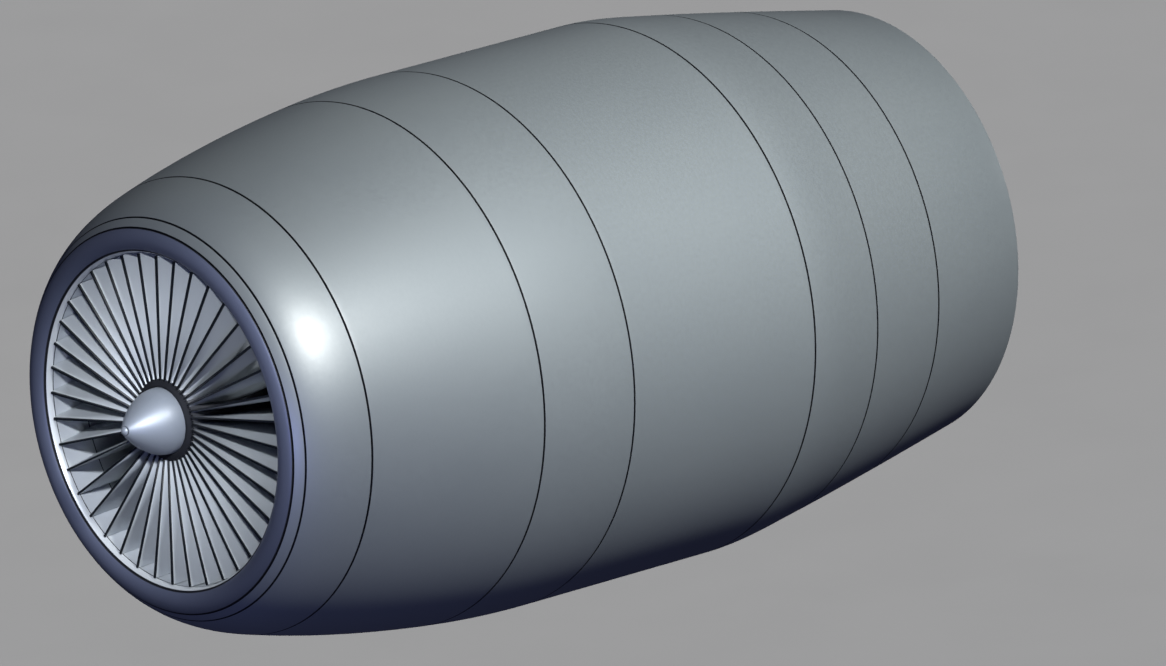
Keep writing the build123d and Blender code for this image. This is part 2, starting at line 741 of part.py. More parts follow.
with BuildPart() as guide_vane_ring:
    with Locations((-flange_radius - PAD_RISE, at(FORWARD_MOUNT_STATION), 0)):
        Box(
            flange_radius,
            CASE_SPAN - 2 * FLANGE_THICKNESS,
            MOUNT_HEIGHT,
            align=(Align.MIN, Align.CENTER, Align.CENTER),
        )
    with BuildSketch(Plane.XZ.offset(-at(CASE_STATION))):
        Circle(DUCT_RADIUS + DUCT_WALL / 2)
    extrude(amount=-CASE_SPAN, mode=Mode.SUBTRACT)
    revolve(
        outline(
            (DUCT_RADIUS, CASE_STATION),
            (DUCT_RADIUS, VANE_STATION),
            (flange_radius, VANE_STATION),
            (flange_radius, VANE_STATION - FLANGE_THICKNESS),
            (duct_outer_radius, VANE_STATION - FLANGE_THICKNESS),
            (duct_outer_radius, CASE_STATION + FLANGE_THICKNESS),
            (flange_radius, CASE_STATION + FLANGE_THICKNESS),
            (flange_radius, CASE_STATION),
        ),
        axis=Axis.Y,
    )
    revolve(
        outline(
            (SPLITTER_RADIUS, CASE_STATION),
            (SPLITTER_RADIUS, VANE_STATION),
            (core_ring_radius, VANE_STATION),
            (core_ring_radius, CASE_STATION),
        ),
        axis=Axis.Y,
    )
    with Locations(*turns(GUIDE_VANES)):
        add(guide_vane.part)
save(guide_vane_ring, "guide_vane_ring")

core_inlet_radius = SPLITTER_RADIUS - SPLITTER_WALL / 2
with BuildPart() as core_splitter:
    revolve(
        outline(
            (SPLITTER_RADIUS - SHADOW_GAP, SPLITTER_STATION),
            (SPLITTER_RADIUS + SHADOW_GAP, SPLITTER_STATION),
            (core_ring_radius, CASE_STATION),
            (core_inlet_radius, CASE_STATION),
        ),
        axis=Axis.Y,
    )
save(core_splitter, "core_splitter")

# Bypass duct: two long sections whose flanges hold the aft bulkhead between them
aft_face = CENTRE_STATION - SEAM_GAP / 2
rear_front = CENTRE_STATION + SEAM_GAP / 2
rear_end = REAR_STATION - SEAM_GAP / 2
aft_flange_radius = DUCT_AFT_RADIUS + CASE_FLANGE
pad_seat = DUCT_AFT_RADIUS + PAD_RISE
with BuildPart() as front_bypass_duct:
    with Locations((-pad_seat, at(AFT_MOUNT_STATION), 0)):
        Box(
            pad_seat / 2,
            MOUNT_LENGTH + MOUNT_PLAY,
            MOUNT_HEIGHT,
            align=(Align.MIN, Align.CENTER, Align.CENTER),
        )
    with BuildSketch():
        with BuildLine():
            core = Spline(
                (DUCT_RADIUS + DUCT_SKIN / 2, at(VANE_STATION)),
                (DUCT_AFT_RADIUS + DUCT_SKIN / 2, at(aft_face)),
                tangents=[direction(DUCT_SLOPE), direction(DUCT_AFT_SLOPE)],
            )
            Polyline(core @ 1, (0, at(aft_face)), (0, at(VANE_STATION)), core @ 0)
        make_face()
    revolve(axis=Axis.Y, mode=Mode.SUBTRACT)
    with BuildSketch():
        with BuildLine():
            wall = Spline(
                (DUCT_RADIUS, at(VANE_STATION)),
                (DUCT_AFT_RADIUS, at(aft_face)),
                tangents=[direction(DUCT_SLOPE), direction(DUCT_AFT_SLOPE)],
            )
            rear_end_line = Polyline(
                wall @ 1,
                (aft_flange_radius, at(aft_face)),
                (aft_flange_radius, at(aft_face - FLANGE_THICKNESS)),
                (DUCT_AFT_RADIUS + DUCT_SKIN, at(aft_face - FLANGE_THICKNESS)),
            )
            front_end_line = Polyline(
                wall @ 0,
                (flange_radius, at(VANE_STATION)),
                (flange_radius, at(VANE_STATION + FLANGE_THICKNESS)),
                (DUCT_RADIUS + DUCT_SKIN, at(VANE_STATION + FLANGE_THICKNESS)),
            )
            Spline(
                front_end_line @ 1,
                rear_end_line @ 1,
                tangents=[direction(DUCT_SLOPE), direction(DUCT_AFT_SLOPE)],
            )
        make_face()
    revolve(axis=Axis.Y)
save(front_bypass_duct, "front_bypass_duct")

rear_flange_radius = DUCT_REAR_RADIUS + REAR_FLANGE
with BuildPart() as rear_bypass_duct:
    with BuildSketch():
        with BuildLine():
            wall = Spline(
                (DUCT_AFT_RADIUS, at(rear_front)),
                (DUCT_REAR_RADIUS, at(rear_end)),
                tangents=[direction(DUCT_AFT_SLOPE), direction(DUCT_REAR_SLOPE)],
            )
            rear_end_line = Polyline(
                wall @ 1,
                (rear_flange_radius, at(rear_end)),
                (rear_flange_radius, at(rear_end - FLANGE_THICKNESS)),
                (DUCT_REAR_RADIUS + DUCT_SKIN, at(rear_end - FLANGE_THICKNESS)),
            )
            front_end_line = Polyline(
                wall @ 0,
                (aft_flange_radius, at(rear_front)),
                (aft_flange_radius, at(rear_front + FLANGE_THICKNESS)),
                (DUCT_AFT_RADIUS + DUCT_SKIN, at(rear_front + FLANGE_THICKNESS)),
            )
            Spline(
                front_end_line @ 1,
                rear_end_line @ 1,
                tangents=[direction(DUCT_AFT_SLOPE), direction(DUCT_REAR_SLOPE)],
            )
        make_face()
    revolve(axis=Axis.Y)
save(rear_bypass_duct, "rear_bypass_duct")

nozzle_front = REAR_STATION + SEAM_GAP / 2
with BuildPart() as exhaust_nozzle:
    with BuildSketch():
        with BuildLine():
            wall = Spline(
                (DUCT_REAR_RADIUS, at(nozzle_front)),
                (nozzle_edge_radius, at(nozzle_end_station)),
                tangents=[direction(DUCT_REAR_SLOPE), direction(NOZZLE_EXIT_SLOPE)],
            )
            Polyline(
                wall @ 0,
                (rear_flange_radius, at(nozzle_front)),
                (rear_flange_radius, at(nozzle_front + FLANGE_THICKNESS)),
                (DUCT_REAR_RADIUS + NOZZLE_SKIN, at(nozzle_front + FLANGE_THICKNESS)),
            )
            Line(wall @ 1, wall @ 1 + Vector(NOZZLE_SKIN, 0))
            Spline(
                (DUCT_REAR_RADIUS + NOZZLE_SKIN, at(nozzle_front + FLANGE_THICKNESS)),
                (nozzle_edge_radius + NOZZLE_SKIN, at(nozzle_end_station)),
                tangents=[direction(DUCT_REAR_SLOPE), direction(NOZZLE_EXIT_SLOPE)],
            )
        make_face()
    revolve(axis=Axis.Y)
save(exhaust_nozzle, "exhaust_nozzle")

# Core cowl: the inner wall of the bypass duct, over the whole core
frame_flange_radius = TURBINE_REAR_RADIUS + CORE_WALL + REAR_FLANGE
cowl_end_radius = frame_flange_radius + REAR_FLANGE
with BuildPart() as core_cowl:
    with BuildSketch():
        with BuildLine():
            wall = Spline(
                (core_ring_radius, at(VANE_STATION)),
                (CORE_COWL_RADIUS, at(CORE_COWL_STATION)),
                (cowl_end_radius, at(REAR_FRAME_STATION)),
            )
            Polyline(
                wall @ 1,
                (frame_flange_radius + CASE_PLAY, at(REAR_FRAME_STATION)),
                (frame_flange_radius + CASE_PLAY, at(REAR_FRAME_STATION - FLANGE_THICKNESS)),
                (cowl_end_radius - CORE_COWL_SKIN, at(REAR_FRAME_STATION - FLANGE_THICKNESS)),
            )
            Spline(
                (cowl_end_radius - CORE_COWL_SKIN, at(REAR_FRAME_STATION - FLANGE_THICKNESS)),
                (CORE_COWL_RADIUS - CORE_COWL_SKIN, at(CORE_COWL_STATION)),
                (core_ring_radius - CORE_COWL_SKIN, at(VANE_STATION)),
            )
            Line((core_ring_radius - CORE_COWL_SKIN, at(VANE_STATION)), wall @ 0)
        make_face()
    revolve(axis=Axis.Y)
save(core_cowl, "core_cowl")


# Lines of the core's air path, each from a front to a rear (station, radius) point
frame_outer = ((VANE_STATION, core_inlet_radius), (FRAME_REAR_STATION, CORE_THROAT_RADIUS))
frame_hub = ((VANE_STATION, CORE_FRONT_HUB), (FRAME_REAR_STATION, CORE_THROAT_HUB))
compressor_outer = (frame_outer[1], (COMPRESSOR_REAR_STATION, COMPRESSOR_REAR_RADIUS))
compressor_hub = (frame_hub[1], (COMPRESSOR_REAR_STATION, COMPRESSOR_REAR_HUB))
booster_hub = ((DISK_REAR_STATION, rim_rear), (VANE_STATION, CORE_FRONT_HUB))
turbine_outer = ((LP_TURBINE_STATION, LP_TURBINE_RADIUS), (TURBINE_REAR_STATION, TURBINE_REAR_RADIUS))
turbine_hub = ((LP_TURBINE_STATION, LP_TURBINE_HUB), (TURBINE_REAR_STATION, TURBINE_REAR_HUB))
bearing_bore = RACE_THICKNESS * 2 + ROLLER_DIAMETER + 2 * ROLLER_FIT + BEARING_FIT + SHAFT_FIT
lp_housing_radius = LP_SHAFT_RADIUS + bearing_bore
core_housing_radius = CORE_SHAFT_RADIUS + bearing_bore
half_race = RACE_LENGTH / 2

# Intermediate frame: the two walls of the core's air path, joined by struts, with the bearing webs inside
web_station = VANE_STATION + SUPPORT_OFFSET
frame_middle = (VANE_STATION + FRAME_REAR_STATION) / 2
with BuildPart() as intermediate_frame:
    with Locations(*row_places([frame_middle], FRAME_STRUTS, FRAME_STRUT_RADIUS, 0)):
        Box(STRUT_THICKNESS, STRUT_CHORD, FRAME_STRUT_HEIGHT)
    revolve(
        outline(
            (CORE_FRONT_HUB - CORE_WALL / 2, VANE_STATION),
            (core_inlet_radius + CORE_WALL / 2, VANE_STATION),
            (CORE_THROAT_RADIUS + CORE_WALL / 2, FRAME_REAR_STATION),
            (CORE_THROAT_HUB - CORE_WALL / 2, FRAME_REAR_STATION),
        ),
        axis=Axis.Y,
        mode=Mode.INTERSECT,
    )
    revolve(
        outline(
            (core_inlet_radius, VANE_STATION),
            (SPLITTER_RADIUS + CORE_WALL - CASE_PLAY, VANE_STATION),
            (CORE_THROAT_RADIUS + CORE_WALL, FRAME_REAR_STATION - FLANGE_THICKNESS),
            (CORE_THROAT_RADIUS + CORE_FLANGE, FRAME_REAR_STATION - FLANGE_THICKNESS),
            (CORE_THROAT_RADIUS + CORE_FLANGE, FRAME_REAR_STATION),
            (CORE_THROAT_RADIUS, FRAME_REAR_STATION),
        ),
        axis=Axis.Y,
    )
    revolve(
        outline(
            (CORE_FRONT_HUB, VANE_STATION),
            (CORE_THROAT_HUB, FRAME_REAR_STATION),
            (CORE_THROAT_HUB - CORE_WALL, FRAME_REAR_STATION),
            (CORE_FRONT_HUB - CORE_WALL, VANE_STATION),
        ),
        axis=Axis.Y,
    )
    web_radius = between(web_station, *frame_hub) - CORE_WALL / 2
    revolve(
        outline(
            (SUPPORT_FLANGE_RADIUS - 4 * CORE_WALL, web_station),
            (web_radius, web_station),
            (web_radius, web_station + FLANGE_THICKNESS),
            (SUPPORT_FLANGE_RADIUS - 4 * CORE_WALL, web_station + FLANGE_THICKNESS),
        ),
        axis=Axis.Y,
    )
    rear_web_radius = between(CORE_FRONT_BEARING + half_race, *frame_hub) - CORE_WALL / 2
    revolve(
        outline(
            (core_housing_radius, CORE_FRONT_BEARING - half_race),
            (core_housing_radius + CORE_WALL, CORE_FRONT_BEARING - half_race),
            (core_housing_radius + CORE_WALL, CORE_FRONT_BEARING + half_race - FLANGE_THICKNESS),
            (rear_web_radius, CORE_FRONT_BEARING + half_race - FLANGE_THICKNESS),
            (rear_web_radius, CORE_FRONT_BEARING + half_race),
            (core_housing_radius, CORE_FRONT_BEARING + half_race),
        ),
        axis=Axis.Y,
    )
save(intermediate_frame, "intermediate_frame")

# Cone that reaches forward from the frame to the front bearing behind the fan
with BuildPart() as front_bearing_support:
    revolve(
        outline(
            (lp_housing_radius, LP_FRONT_BEARING - half_race),
            (lp_housing_radius + CORE_WALL, LP_FRONT_BEARING - half_race),
            (lp_housing_radius + CORE_WALL, LP_FRONT_BEARING + half_race),
            (SUPPORT_FLANGE_RADIUS - 2 * CORE_WALL, web_station - FLANGE_THICKNESS),
            (SUPPORT_FLANGE_RADIUS, web_station - FLANGE_THICKNESS),
            (SUPPORT_FLANGE_RADIUS, web_station),
            (SUPPORT_FLANGE_RADIUS - 3 * CORE_WALL, web_station),
            (lp_housing_radius, LP_FRONT_BEARING + half_race),
        ),
        axis=Axis.Y,
    )
save(front_bearing_support, "front_bearing_support")


# Booster: rows of blades on a drum behind the fan, and the case whose vanes stand between them
booster_rotor_rows = [BOOSTER_STATION + BOOSTER_PITCH * index for index in range(BOOSTER_STAGES)]
booster_vane_rows = [station + BOOSTER_PITCH / 2 for station in booster_rotor_rows]
with BuildPart() as booster_rotor:
    with Locations(*row_places(booster_rotor_rows, CORE_BLADES, core_inlet_radius, ROTOR_STAGGER)):
        Box(ROW_THICKNESS, BOOSTER_CHORD, core_inlet_radius)
    revolve(
        outline(
            (rim_rear - CORE_WALL, DISK_REAR_STATION),
            (core_inlet_radius - TIP_CLEARANCE, DISK_REAR_STATION),
            (core_inlet_radius - TIP_CLEARANCE, VANE_STATION),
            (CORE_FRONT_HUB - CORE_WALL, VANE_STATION),
        ),
        axis=Axis.Y,
        mode=Mode.INTERSECT,
    )
    drum_end = booster_rotor_rows[-1] + BOOSTER_CHORD / 2 + ROW_GAP
    revolve(
        outline(
            (rim_rear, DISK_REAR_STATION),
            (between(drum_end, *booster_hub), drum_end),
            (between(drum_end, *booster_hub) - DRUM_WALL, drum_end),
            (rim_rear - DRUM_WALL, DISK_REAR_STATION + FLANGE_THICKNESS),
            (rim_rear - DISK_RIM, DISK_REAR_STATION + FLANGE_THICKNESS),
            (rim_rear - DISK_RIM, DISK_REAR_STATION),
        ),
        axis=Axis.Y,
    )
save(booster_rotor, "booster_rotor")

with BuildPart() as booster_case:
    with Locations(*row_places(booster_vane_rows, CORE_BLADES, core_inlet_radius, VANE_STAGGER)):
        Box(ROW_THICKNESS, BOOSTER_CHORD, core_inlet_radius)
    revolve(
        outline(
            (between(CASE_STATION, *booster_hub) + TIP_CLEARANCE, CASE_STATION),
            (case_wall_radius - CASE_PLAY, CASE_STATION),
            (case_wall_radius - CASE_PLAY, VANE_STATION),
            (CORE_FRONT_HUB + TIP_CLEARANCE, VANE_STATION),
        ),
        axis=Axis.Y,
        mode=Mode.INTERSECT,
    )
    revolve(
        outline(
            (core_inlet_radius, CASE_STATION),
            (case_wall_radius, CASE_STATION),
            (case_wall_radius, VANE_STATION),
            (core_inlet_radius, VANE_STATION),
        ),
        axis=Axis.Y,
    )
save(booster_case, "booster_case")


# High-pressure compressor: drum with its rows, and the case with the vanes between them
compressor_rotor_rows = [
    COMPRESSOR_STATION + COMPRESSOR_PITCH * index for index in range(COMPRESSOR_STAGES)
]
compressor_vane_rows = [station + COMPRESSOR_PITCH / 2 for station in compressor_rotor_rows]
drum_front = FRAME_REAR_STATION + DRUM_GAP
drum_rear = COMPRESSOR_REAR_STATION - DRUM_GAP
drum_front_radius = between(drum_front, *compressor_hub)
drum_rear_radius = between(drum_rear, *compressor_hub)
with BuildPart() as core_compressor_rotor:
    with Locations(*row_places(compressor_rotor_rows, CORE_BLADES, CORE_THROAT_RADIUS, ROTOR_STAGGER)):
        Box(ROW_THICKNESS, COMPRESSOR_CHORD, CORE_THROAT_RADIUS)
    revolve(
        outline(
            (drum_front_radius - CORE_WALL, drum_front),
            (between(drum_front, *compressor_outer) - TIP_CLEARANCE, drum_front),
            (between(drum_rear, *compressor_outer) - TIP_CLEARANCE, drum_rear),
            (drum_rear_radius - CORE_WALL, drum_rear),
        ),
        axis=Axis.Y,
        mode=Mode.INTERSECT,
    )
    revolve(
        outline(
            (drum_front_radius, drum_front),
            (drum_rear_radius, drum_rear),
            (CORE_SHAFT_RADIUS + FLANGE_THICKNESS, drum_rear),
            (CORE_SHAFT_RADIUS + FLANGE_THICKNESS, drum_rear - FLANGE_THICKNESS),
            (drum_rear_radius - DRUM_WALL, drum_rear - FLANGE_THICKNESS),
            (drum_front_radius - DRUM_WALL, drum_front + FLANGE_THICKNESS),
            (CORE_SHAFT_RADIUS, drum_front + FLANGE_THICKNESS),
            (CORE_SHAFT_BORE, drum_front + FLANGE_THICKNESS),
            (CORE_SHAFT_BORE, CORE_FRONT_BEARING - half_race - FLANGE_THICKNESS),
            (CORE_SHAFT_RADIUS, CORE_FRONT_BEARING - half_race - FLANGE_THICKNESS),
            (CORE_SHAFT_RADIUS, drum_front),
        ),
        axis=Axis.Y,
    )
save(core_compressor_rotor, "core_compressor_rotor")

with BuildPart() as compressor_case:
    with Locations(*row_places(compressor_vane_rows, CORE_BLADES, CORE_THROAT_RADIUS, VANE_STAGGER)):
        Box(ROW_THICKNESS, COMPRESSOR_CHORD, CORE_THROAT_RADIUS)
    revolve(
        outline(
            (CORE_THROAT_HUB + TIP_CLEARANCE, FRAME_REAR_STATION),
            (CORE_THROAT_RADIUS + CORE_WALL / 2, FRAME_REAR_STATION),
            (COMPRESSOR_REAR_RADIUS + CORE_WALL / 2, COMPRESSOR_REAR_STATION),
            (COMPRESSOR_REAR_HUB + TIP_CLEARANCE, COMPRESSOR_REAR_STATION),
        ),
        axis=Axis.Y,
        mode=Mode.INTERSECT,
    )
    revolve(
        outline(
            (CORE_THROAT_RADIUS, FRAME_REAR_STATION),
            (CORE_THROAT_RADIUS + CORE_FLANGE, FRAME_REAR_STATION),
            (CORE_THROAT_RADIUS + CORE_FLANGE, FRAME_REAR_STATION + FLANGE_THICKNESS),
            (CORE_THROAT_RADIUS + CORE_WALL, FRAME_REAR_STATION + FLANGE_THICKNESS),
            (COMPRESSOR_REAR_RADIUS + CORE_WALL, COMPRESSOR_REAR_STATION - FLANGE_THICKNESS),
            (COMPRESSOR_REAR_RADIUS + CORE_FLANGE, COMPRESSOR_REAR_STATION - FLANGE_THICKNESS),
            (COMPRESSOR_REAR_RADIUS + CORE_FLANGE, COMPRESSOR_REAR_STATION),
            (COMPRESSOR_REAR_RADIUS, COMPRESSOR_REAR_STATION),
        ),
        axis=Axis.Y,
    )
save(compressor_case, "compressor_case")


# Combustor: a case with an outer and an inner wall, the ring-shaped liner in it, and its fuel nozzles
shoulder_front = COMPRESSOR_REAR_STATION + DIFFUSER_LENGTH
shoulder_rear = COMBUSTOR_REAR_STATION - 3 * FLANGE_THICKNESS
liner_outer_foot = TURBINE_FRONT_RADIUS + LINER_SKIN
liner_inner_foot = TURBINE_FRONT_HUB - LINER_SKIN
wall_foot = liner_inner_foot - 2 * SHADOW_GAP
nozzle_station = shoulder_front + FUEL_FLANGE_RADIUS + SHADOW_GAP
stem_place = Location((0, at(nozzle_station), COMBUSTOR_RADIUS))
stem_places = [turn * stem_place for turn in turns(FUEL_NOZZLES)]
strut_station = COMPRESSOR_REAR_STATION + DIFFUSER_STRUT * 2 / 3
with BuildPart() as combustor_case:
    with Locations(*row_places([strut_station], FRAME_STRUTS, COMPRESSOR_REAR_RADIUS, 0)):
        Box(STRUT_THICKNESS, DIFFUSER_STRUT, COMPRESSOR_REAR_RADIUS)
    revolve(
        outline(
            (COMPRESSOR_REAR_HUB - CORE_WALL / 2, COMPRESSOR_REAR_STATION),
            (COMPRESSOR_REAR_RADIUS + CORE_WALL / 2, COMPRESSOR_REAR_STATION),
            (COMBUSTOR_RADIUS - CORE_WALL / 2, shoulder_front),
            (COMBUSTOR_INNER_RADIUS - CORE_WALL / 2, shoulder_front),
        ),
        axis=Axis.Y,
        mode=Mode.INTERSECT,
    )
    with Locations(*stem_places):
        Cylinder(FUEL_FLANGE_RADIUS, BOSS_RISE, align=(Align.CENTER, Align.CENTER, Align.MIN))
        Cylinder(FUEL_FLANGE_RADIUS, CORE_WALL, align=(Align.CENTER, Align.CENTER, Align.MAX))
    revolve(
        outline(
            (COMPRESSOR_REAR_RADIUS, COMPRESSOR_REAR_STATION),
            (COMPRESSOR_REAR_RADIUS + CORE_FLANGE, COMPRESSOR_REAR_STATION),
            (COMPRESSOR_REAR_RADIUS + CORE_FLANGE, COMPRESSOR_REAR_STATION + FLANGE_THICKNESS),
            (COMBUSTOR_RADIUS, shoulder_front),
            (COMBUSTOR_RADIUS, shoulder_rear),
            (COMBUSTOR_RADIUS, COMBUSTOR_REAR_STATION),
            (liner_outer_foot + 2 * SHADOW_GAP, COMBUSTOR_REAR_STATION),
            (liner_outer_foot + 2 * SHADOW_GAP, COMBUSTOR_REAR_STATION - FLANGE_THICKNESS),
            (COMBUSTOR_RADIUS - CORE_WALL, shoulder_rear - FLANGE_THICKNESS),
            (COMBUSTOR_RADIUS - CORE_WALL, shoulder_front + CORE_WALL / 2),
        ),
        axis=Axis.Y,
    )
    revolve(
        outline(
            (COMPRESSOR_REAR_HUB, COMPRESSOR_REAR_STATION),
            (COMBUSTOR_INNER_RADIUS, shoulder_front),
            (COMBUSTOR_INNER_RADIUS, shoulder_rear - 3 * CORE_WALL),
            (wall_foot, COMBUSTOR_REAR_STATION - FLANGE_THICKNESS),
            (wall_foot, COMBUSTOR_REAR_STATION),
            (wall_foot - 2 * CORE_WALL, COMBUSTOR_REAR_STATION),
            (COMBUSTOR_INNER_RADIUS - CORE_WALL, shoulder_rear - 3 * CORE_WALL),
            (COMBUSTOR_INNER_RADIUS - CORE_WALL, shoulder_front),
            (COMPRESSOR_REAR_HUB - CORE_WALL, COMPRESSOR_REAR_STATION),
        ),
        axis=Axis.Y,
    )
    revolve(
        outline(
            (core_housing_radius, CORE_REAR_BEARING - half_race),
            (core_housing_radius + CORE_WALL, CORE_REAR_BEARING - half_race),
            (core_housing_radius + CORE_WALL, CORE_REAR_BEARING + half_race - FLANGE_THICKNESS),
            (COMBUSTOR_INNER_RADIUS, CORE_REAR_BEARING + half_race - FLANGE_THICKNESS),
            (COMBUSTOR_INNER_RADIUS, CORE_REAR_BEARING + half_race),
            (core_housing_radius, CORE_REAR_BEARING + half_race),
        ),
        axis=Axis.Y,
    )
    with Locations(*stem_places):
        Cylinder(FUEL_STEM_RADIUS + SHAFT_FIT, 3 * BOSS_RISE, mode=Mode.SUBTRACT)
save(combustor_case, "combustor_case")

liner_middle = (COMBUSTOR_RADIUS + COMBUSTOR_INNER_RADIUS) / 2
liner_front = nozzle_station + LINER_FRONT
liner_rear = shoulder_rear - LINER_TAPER
liner_foot = COMBUSTOR_REAR_STATION - SHADOW_GAP
liner_outer = liner_middle + LINER_HALF_HEIGHT
liner_inner = liner_middle - LINER_HALF_HEIGHT
with BuildPart() as combustor_liner:
    revolve(
        outline(
            (liner_inner, liner_front),
            (liner_outer, liner_front),
            (liner_outer, liner_rear),
            (liner_outer_foot, liner_foot),
            (liner_outer_foot, COMBUSTOR_REAR_STATION),
            (TURBINE_FRONT_RADIUS, COMBUSTOR_REAR_STATION),
            (TURBINE_FRONT_RADIUS, liner_foot),
            (liner_outer - LINER_SKIN, liner_rear),
            (liner_outer - LINER_SKIN, liner_front + LINER_SKIN),
            (liner_inner + LINER_SKIN, liner_front + LINER_SKIN),
            (liner_inner + LINER_SKIN, liner_rear),
            (TURBINE_FRONT_HUB, liner_foot),
            (TURBINE_FRONT_HUB, COMBUSTOR_REAR_STATION),
            (liner_inner_foot, COMBUSTOR_REAR_STATION),
            (liner_inner_foot, liner_foot),
            (liner_inner, liner_rear),
        ),
        axis=Axis.Y,
    )
    tip_place = Location((0, at(liner_front), liner_middle))
    with Locations(*[turn * tip_place for turn in turns(FUEL_NOZZLES)]):
        Cylinder(FUEL_TIP_RADIUS + SHAFT_FIT, 4 * LINER_SKIN, rotation=(90, 0, 0), mode=Mode.SUBTRACT)
save(combustor_liner, "combustor_liner")

with BuildPart() as fuel_nozzle:
    with Locations((0, at(nozzle_station), liner_middle - FUEL_TIP_RADIUS)):
        Cylinder(
            FUEL_STEM_RADIUS,
            COMBUSTOR_RADIUS + BOSS_RISE - liner_middle + FUEL_TIP_RADIUS,
            align=(Align.CENTER, Align.CENTER, Align.MIN),
        )
    with Locations((0, at(nozzle_station), COMBUSTOR_RADIUS + BOSS_RISE)):
        Cylinder(FUEL_FLANGE_RADIUS, FLANGE_THICKNESS, align=(Align.CENTER, Align.CENTER, Align.MIN))
    with Locations((0, at(nozzle_station), liner_middle)):
        Cylinder(
            FUEL_TIP_RADIUS,
            LINER_FRONT + 2 * LINER_SKIN,
            rotation=(-90, 0, 0),
            align=(Align.CENTER, Align.CENTER, Align.MIN),
        )
with BuildPart() as fuel_nozzles:
    with Locations(*turns(FUEL_NOZZLES)):
        add(fuel_nozzle.part)
save(fuel_nozzles, "fuel_nozzles")


# High-pressure shaft and turbine wheel
turbine_face = COMBUSTOR_REAR_STATION + TURBINE_NOZZLE_LENGTH
with BuildPart() as core_shaft:
    revolve(
        outline(
            (CORE_SHAFT_BORE, drum_rear),
            (CORE_FLANGE_RADIUS, drum_rear),
            (CORE_FLANGE_RADIUS, drum_rear + FLANGE_THICKNESS),
            (CORE_SHAFT_RADIUS, drum_rear + FLANGE_THICKNESS),
            (CORE_SHAFT_RADIUS, turbine_face - FLANGE_THICKNESS),
            (CORE_FLANGE_RADIUS, turbine_face - FLANGE_THICKNESS),
            (CORE_FLANGE_RADIUS, turbine_face),
            (CORE_SHAFT_BORE, turbine_face),
        ),
        axis=Axis.Y,
    )
save(core_shaft, "core_shaft")

wheel_rear = turbine_face + CORE_WHEEL_LENGTH
wheel_middle = turbine_face + CORE_WHEEL_LENGTH / 2
with BuildPart() as core_turbine_rotor:
    with Locations(*row_places([wheel_middle], TURBINE_BLADES, TURBINE_FRONT_RADIUS, ROTOR_STAGGER)):
        Box(ROW_THICKNESS, CORE_WHEEL_LENGTH - ROW_THICKNESS, TURBINE_FRONT_RADIUS)
    revolve(
        outline(
            (TURBINE_FRONT_HUB - CORE_WALL, turbine_face),
            (TURBINE_FRONT_RADIUS - TIP_CLEARANCE, turbine_face),
            (TURBINE_FRONT_RADIUS - TIP_CLEARANCE, wheel_rear),
            (TURBINE_FRONT_HUB - CORE_WALL, wheel_rear),
        ),
        axis=Axis.Y,
        mode=Mode.INTERSECT,
    )
    revolve(
        outline(
            (TURBINE_FRONT_HUB, turbine_face),
            (TURBINE_FRONT_HUB, wheel_rear),
            (TURBINE_FRONT_HUB - WHEEL_RIM, wheel_rear),
            (CORE_FLANGE_RADIUS, turbine_face + WHEEL_WEB),
            (CORE_FLANGE_RADIUS, wheel_rear),
            (CORE_SHAFT_BORE, wheel_rear),
            (CORE_SHAFT_BORE, turbine_face),
            (CORE_FLANGE_RADIUS, turbine_face),
            (TURBINE_FRONT_HUB - WHEEL_RIM, turbine_face + WHEEL_WEB / 3),
            (TURBINE_FRONT_HUB - WHEEL_RIM, turbine_face),
        ),
        axis=Axis.Y,
    )
save(core_turbine_rotor, "core_turbine_rotor")


# Low-pressure turbine: three rows on a drum, and the case with all the turbine's vanes
turbine_rotor_rows = [TURBINE_STATION + TURBINE_PITCH * index for index in range(TURBINE_STAGES)]
turbine_vane_rows = [station - TURBINE_PITCH / 2 for station in turbine_rotor_rows]
turbine_drum_front = turbine_rotor_rows[0] - TURBINE_CHORD / 2 - ROW_GAP
turbine_drum_rear = turbine_rotor_rows[-1] + TURBINE_CHORD / 2 + ROW_GAP
turbine_front_hub = between(turbine_drum_front, *turbine_hub)
turbine_rear_hub = between(turbine_drum_rear, *turbine_hub)
drive_station = turbine_rotor_rows[1] + TURBINE_CHORD / 2
with BuildPart() as lp_turbine_rotor:
    with Locations(*row_places(turbine_rotor_rows, TURBINE_BLADES, TURBINE_REAR_RADIUS, ROTOR_STAGGER)):
        Box(ROW_THICKNESS, TURBINE_CHORD, TURBINE_REAR_RADIUS)
    revolve(
        outline(
            (turbine_front_hub - CORE_WALL, turbine_drum_front),
            (between(turbine_drum_front, *turbine_outer) - TIP_CLEARANCE, turbine_drum_front),
            (between(turbine_drum_rear, *turbine_outer) - TIP_CLEARANCE, turbine_drum_rear),
            (turbine_rear_hub - CORE_WALL, turbine_drum_rear),
        ),
        axis=Axis.Y,
        mode=Mode.INTERSECT,
    )
    revolve(
        outline(
            (turbine_front_hub, turbine_drum_front),
            (turbine_rear_hub, turbine_drum_rear),
            (turbine_rear_hub - DRUM_WALL, turbine_drum_rear),
            (between(drive_station, *turbine_hub) - DRUM_WALL, drive_station),
            (LP_SHAFT_RADIUS + SHAFT_FIT, drive_station),
            (LP_SHAFT_RADIUS + SHAFT_FIT, drive_station - WHEEL_WEB),
            (between(drive_station - WHEEL_WEB, *turbine_hub) - DRUM_WALL, drive_station - WHEEL_WEB),
            (turbine_front_hub - DRUM_WALL, turbine_drum_front),
        ),
        axis=Axis.Y,
    )
save(lp_turbine_rotor, "lp_turbine_rotor")

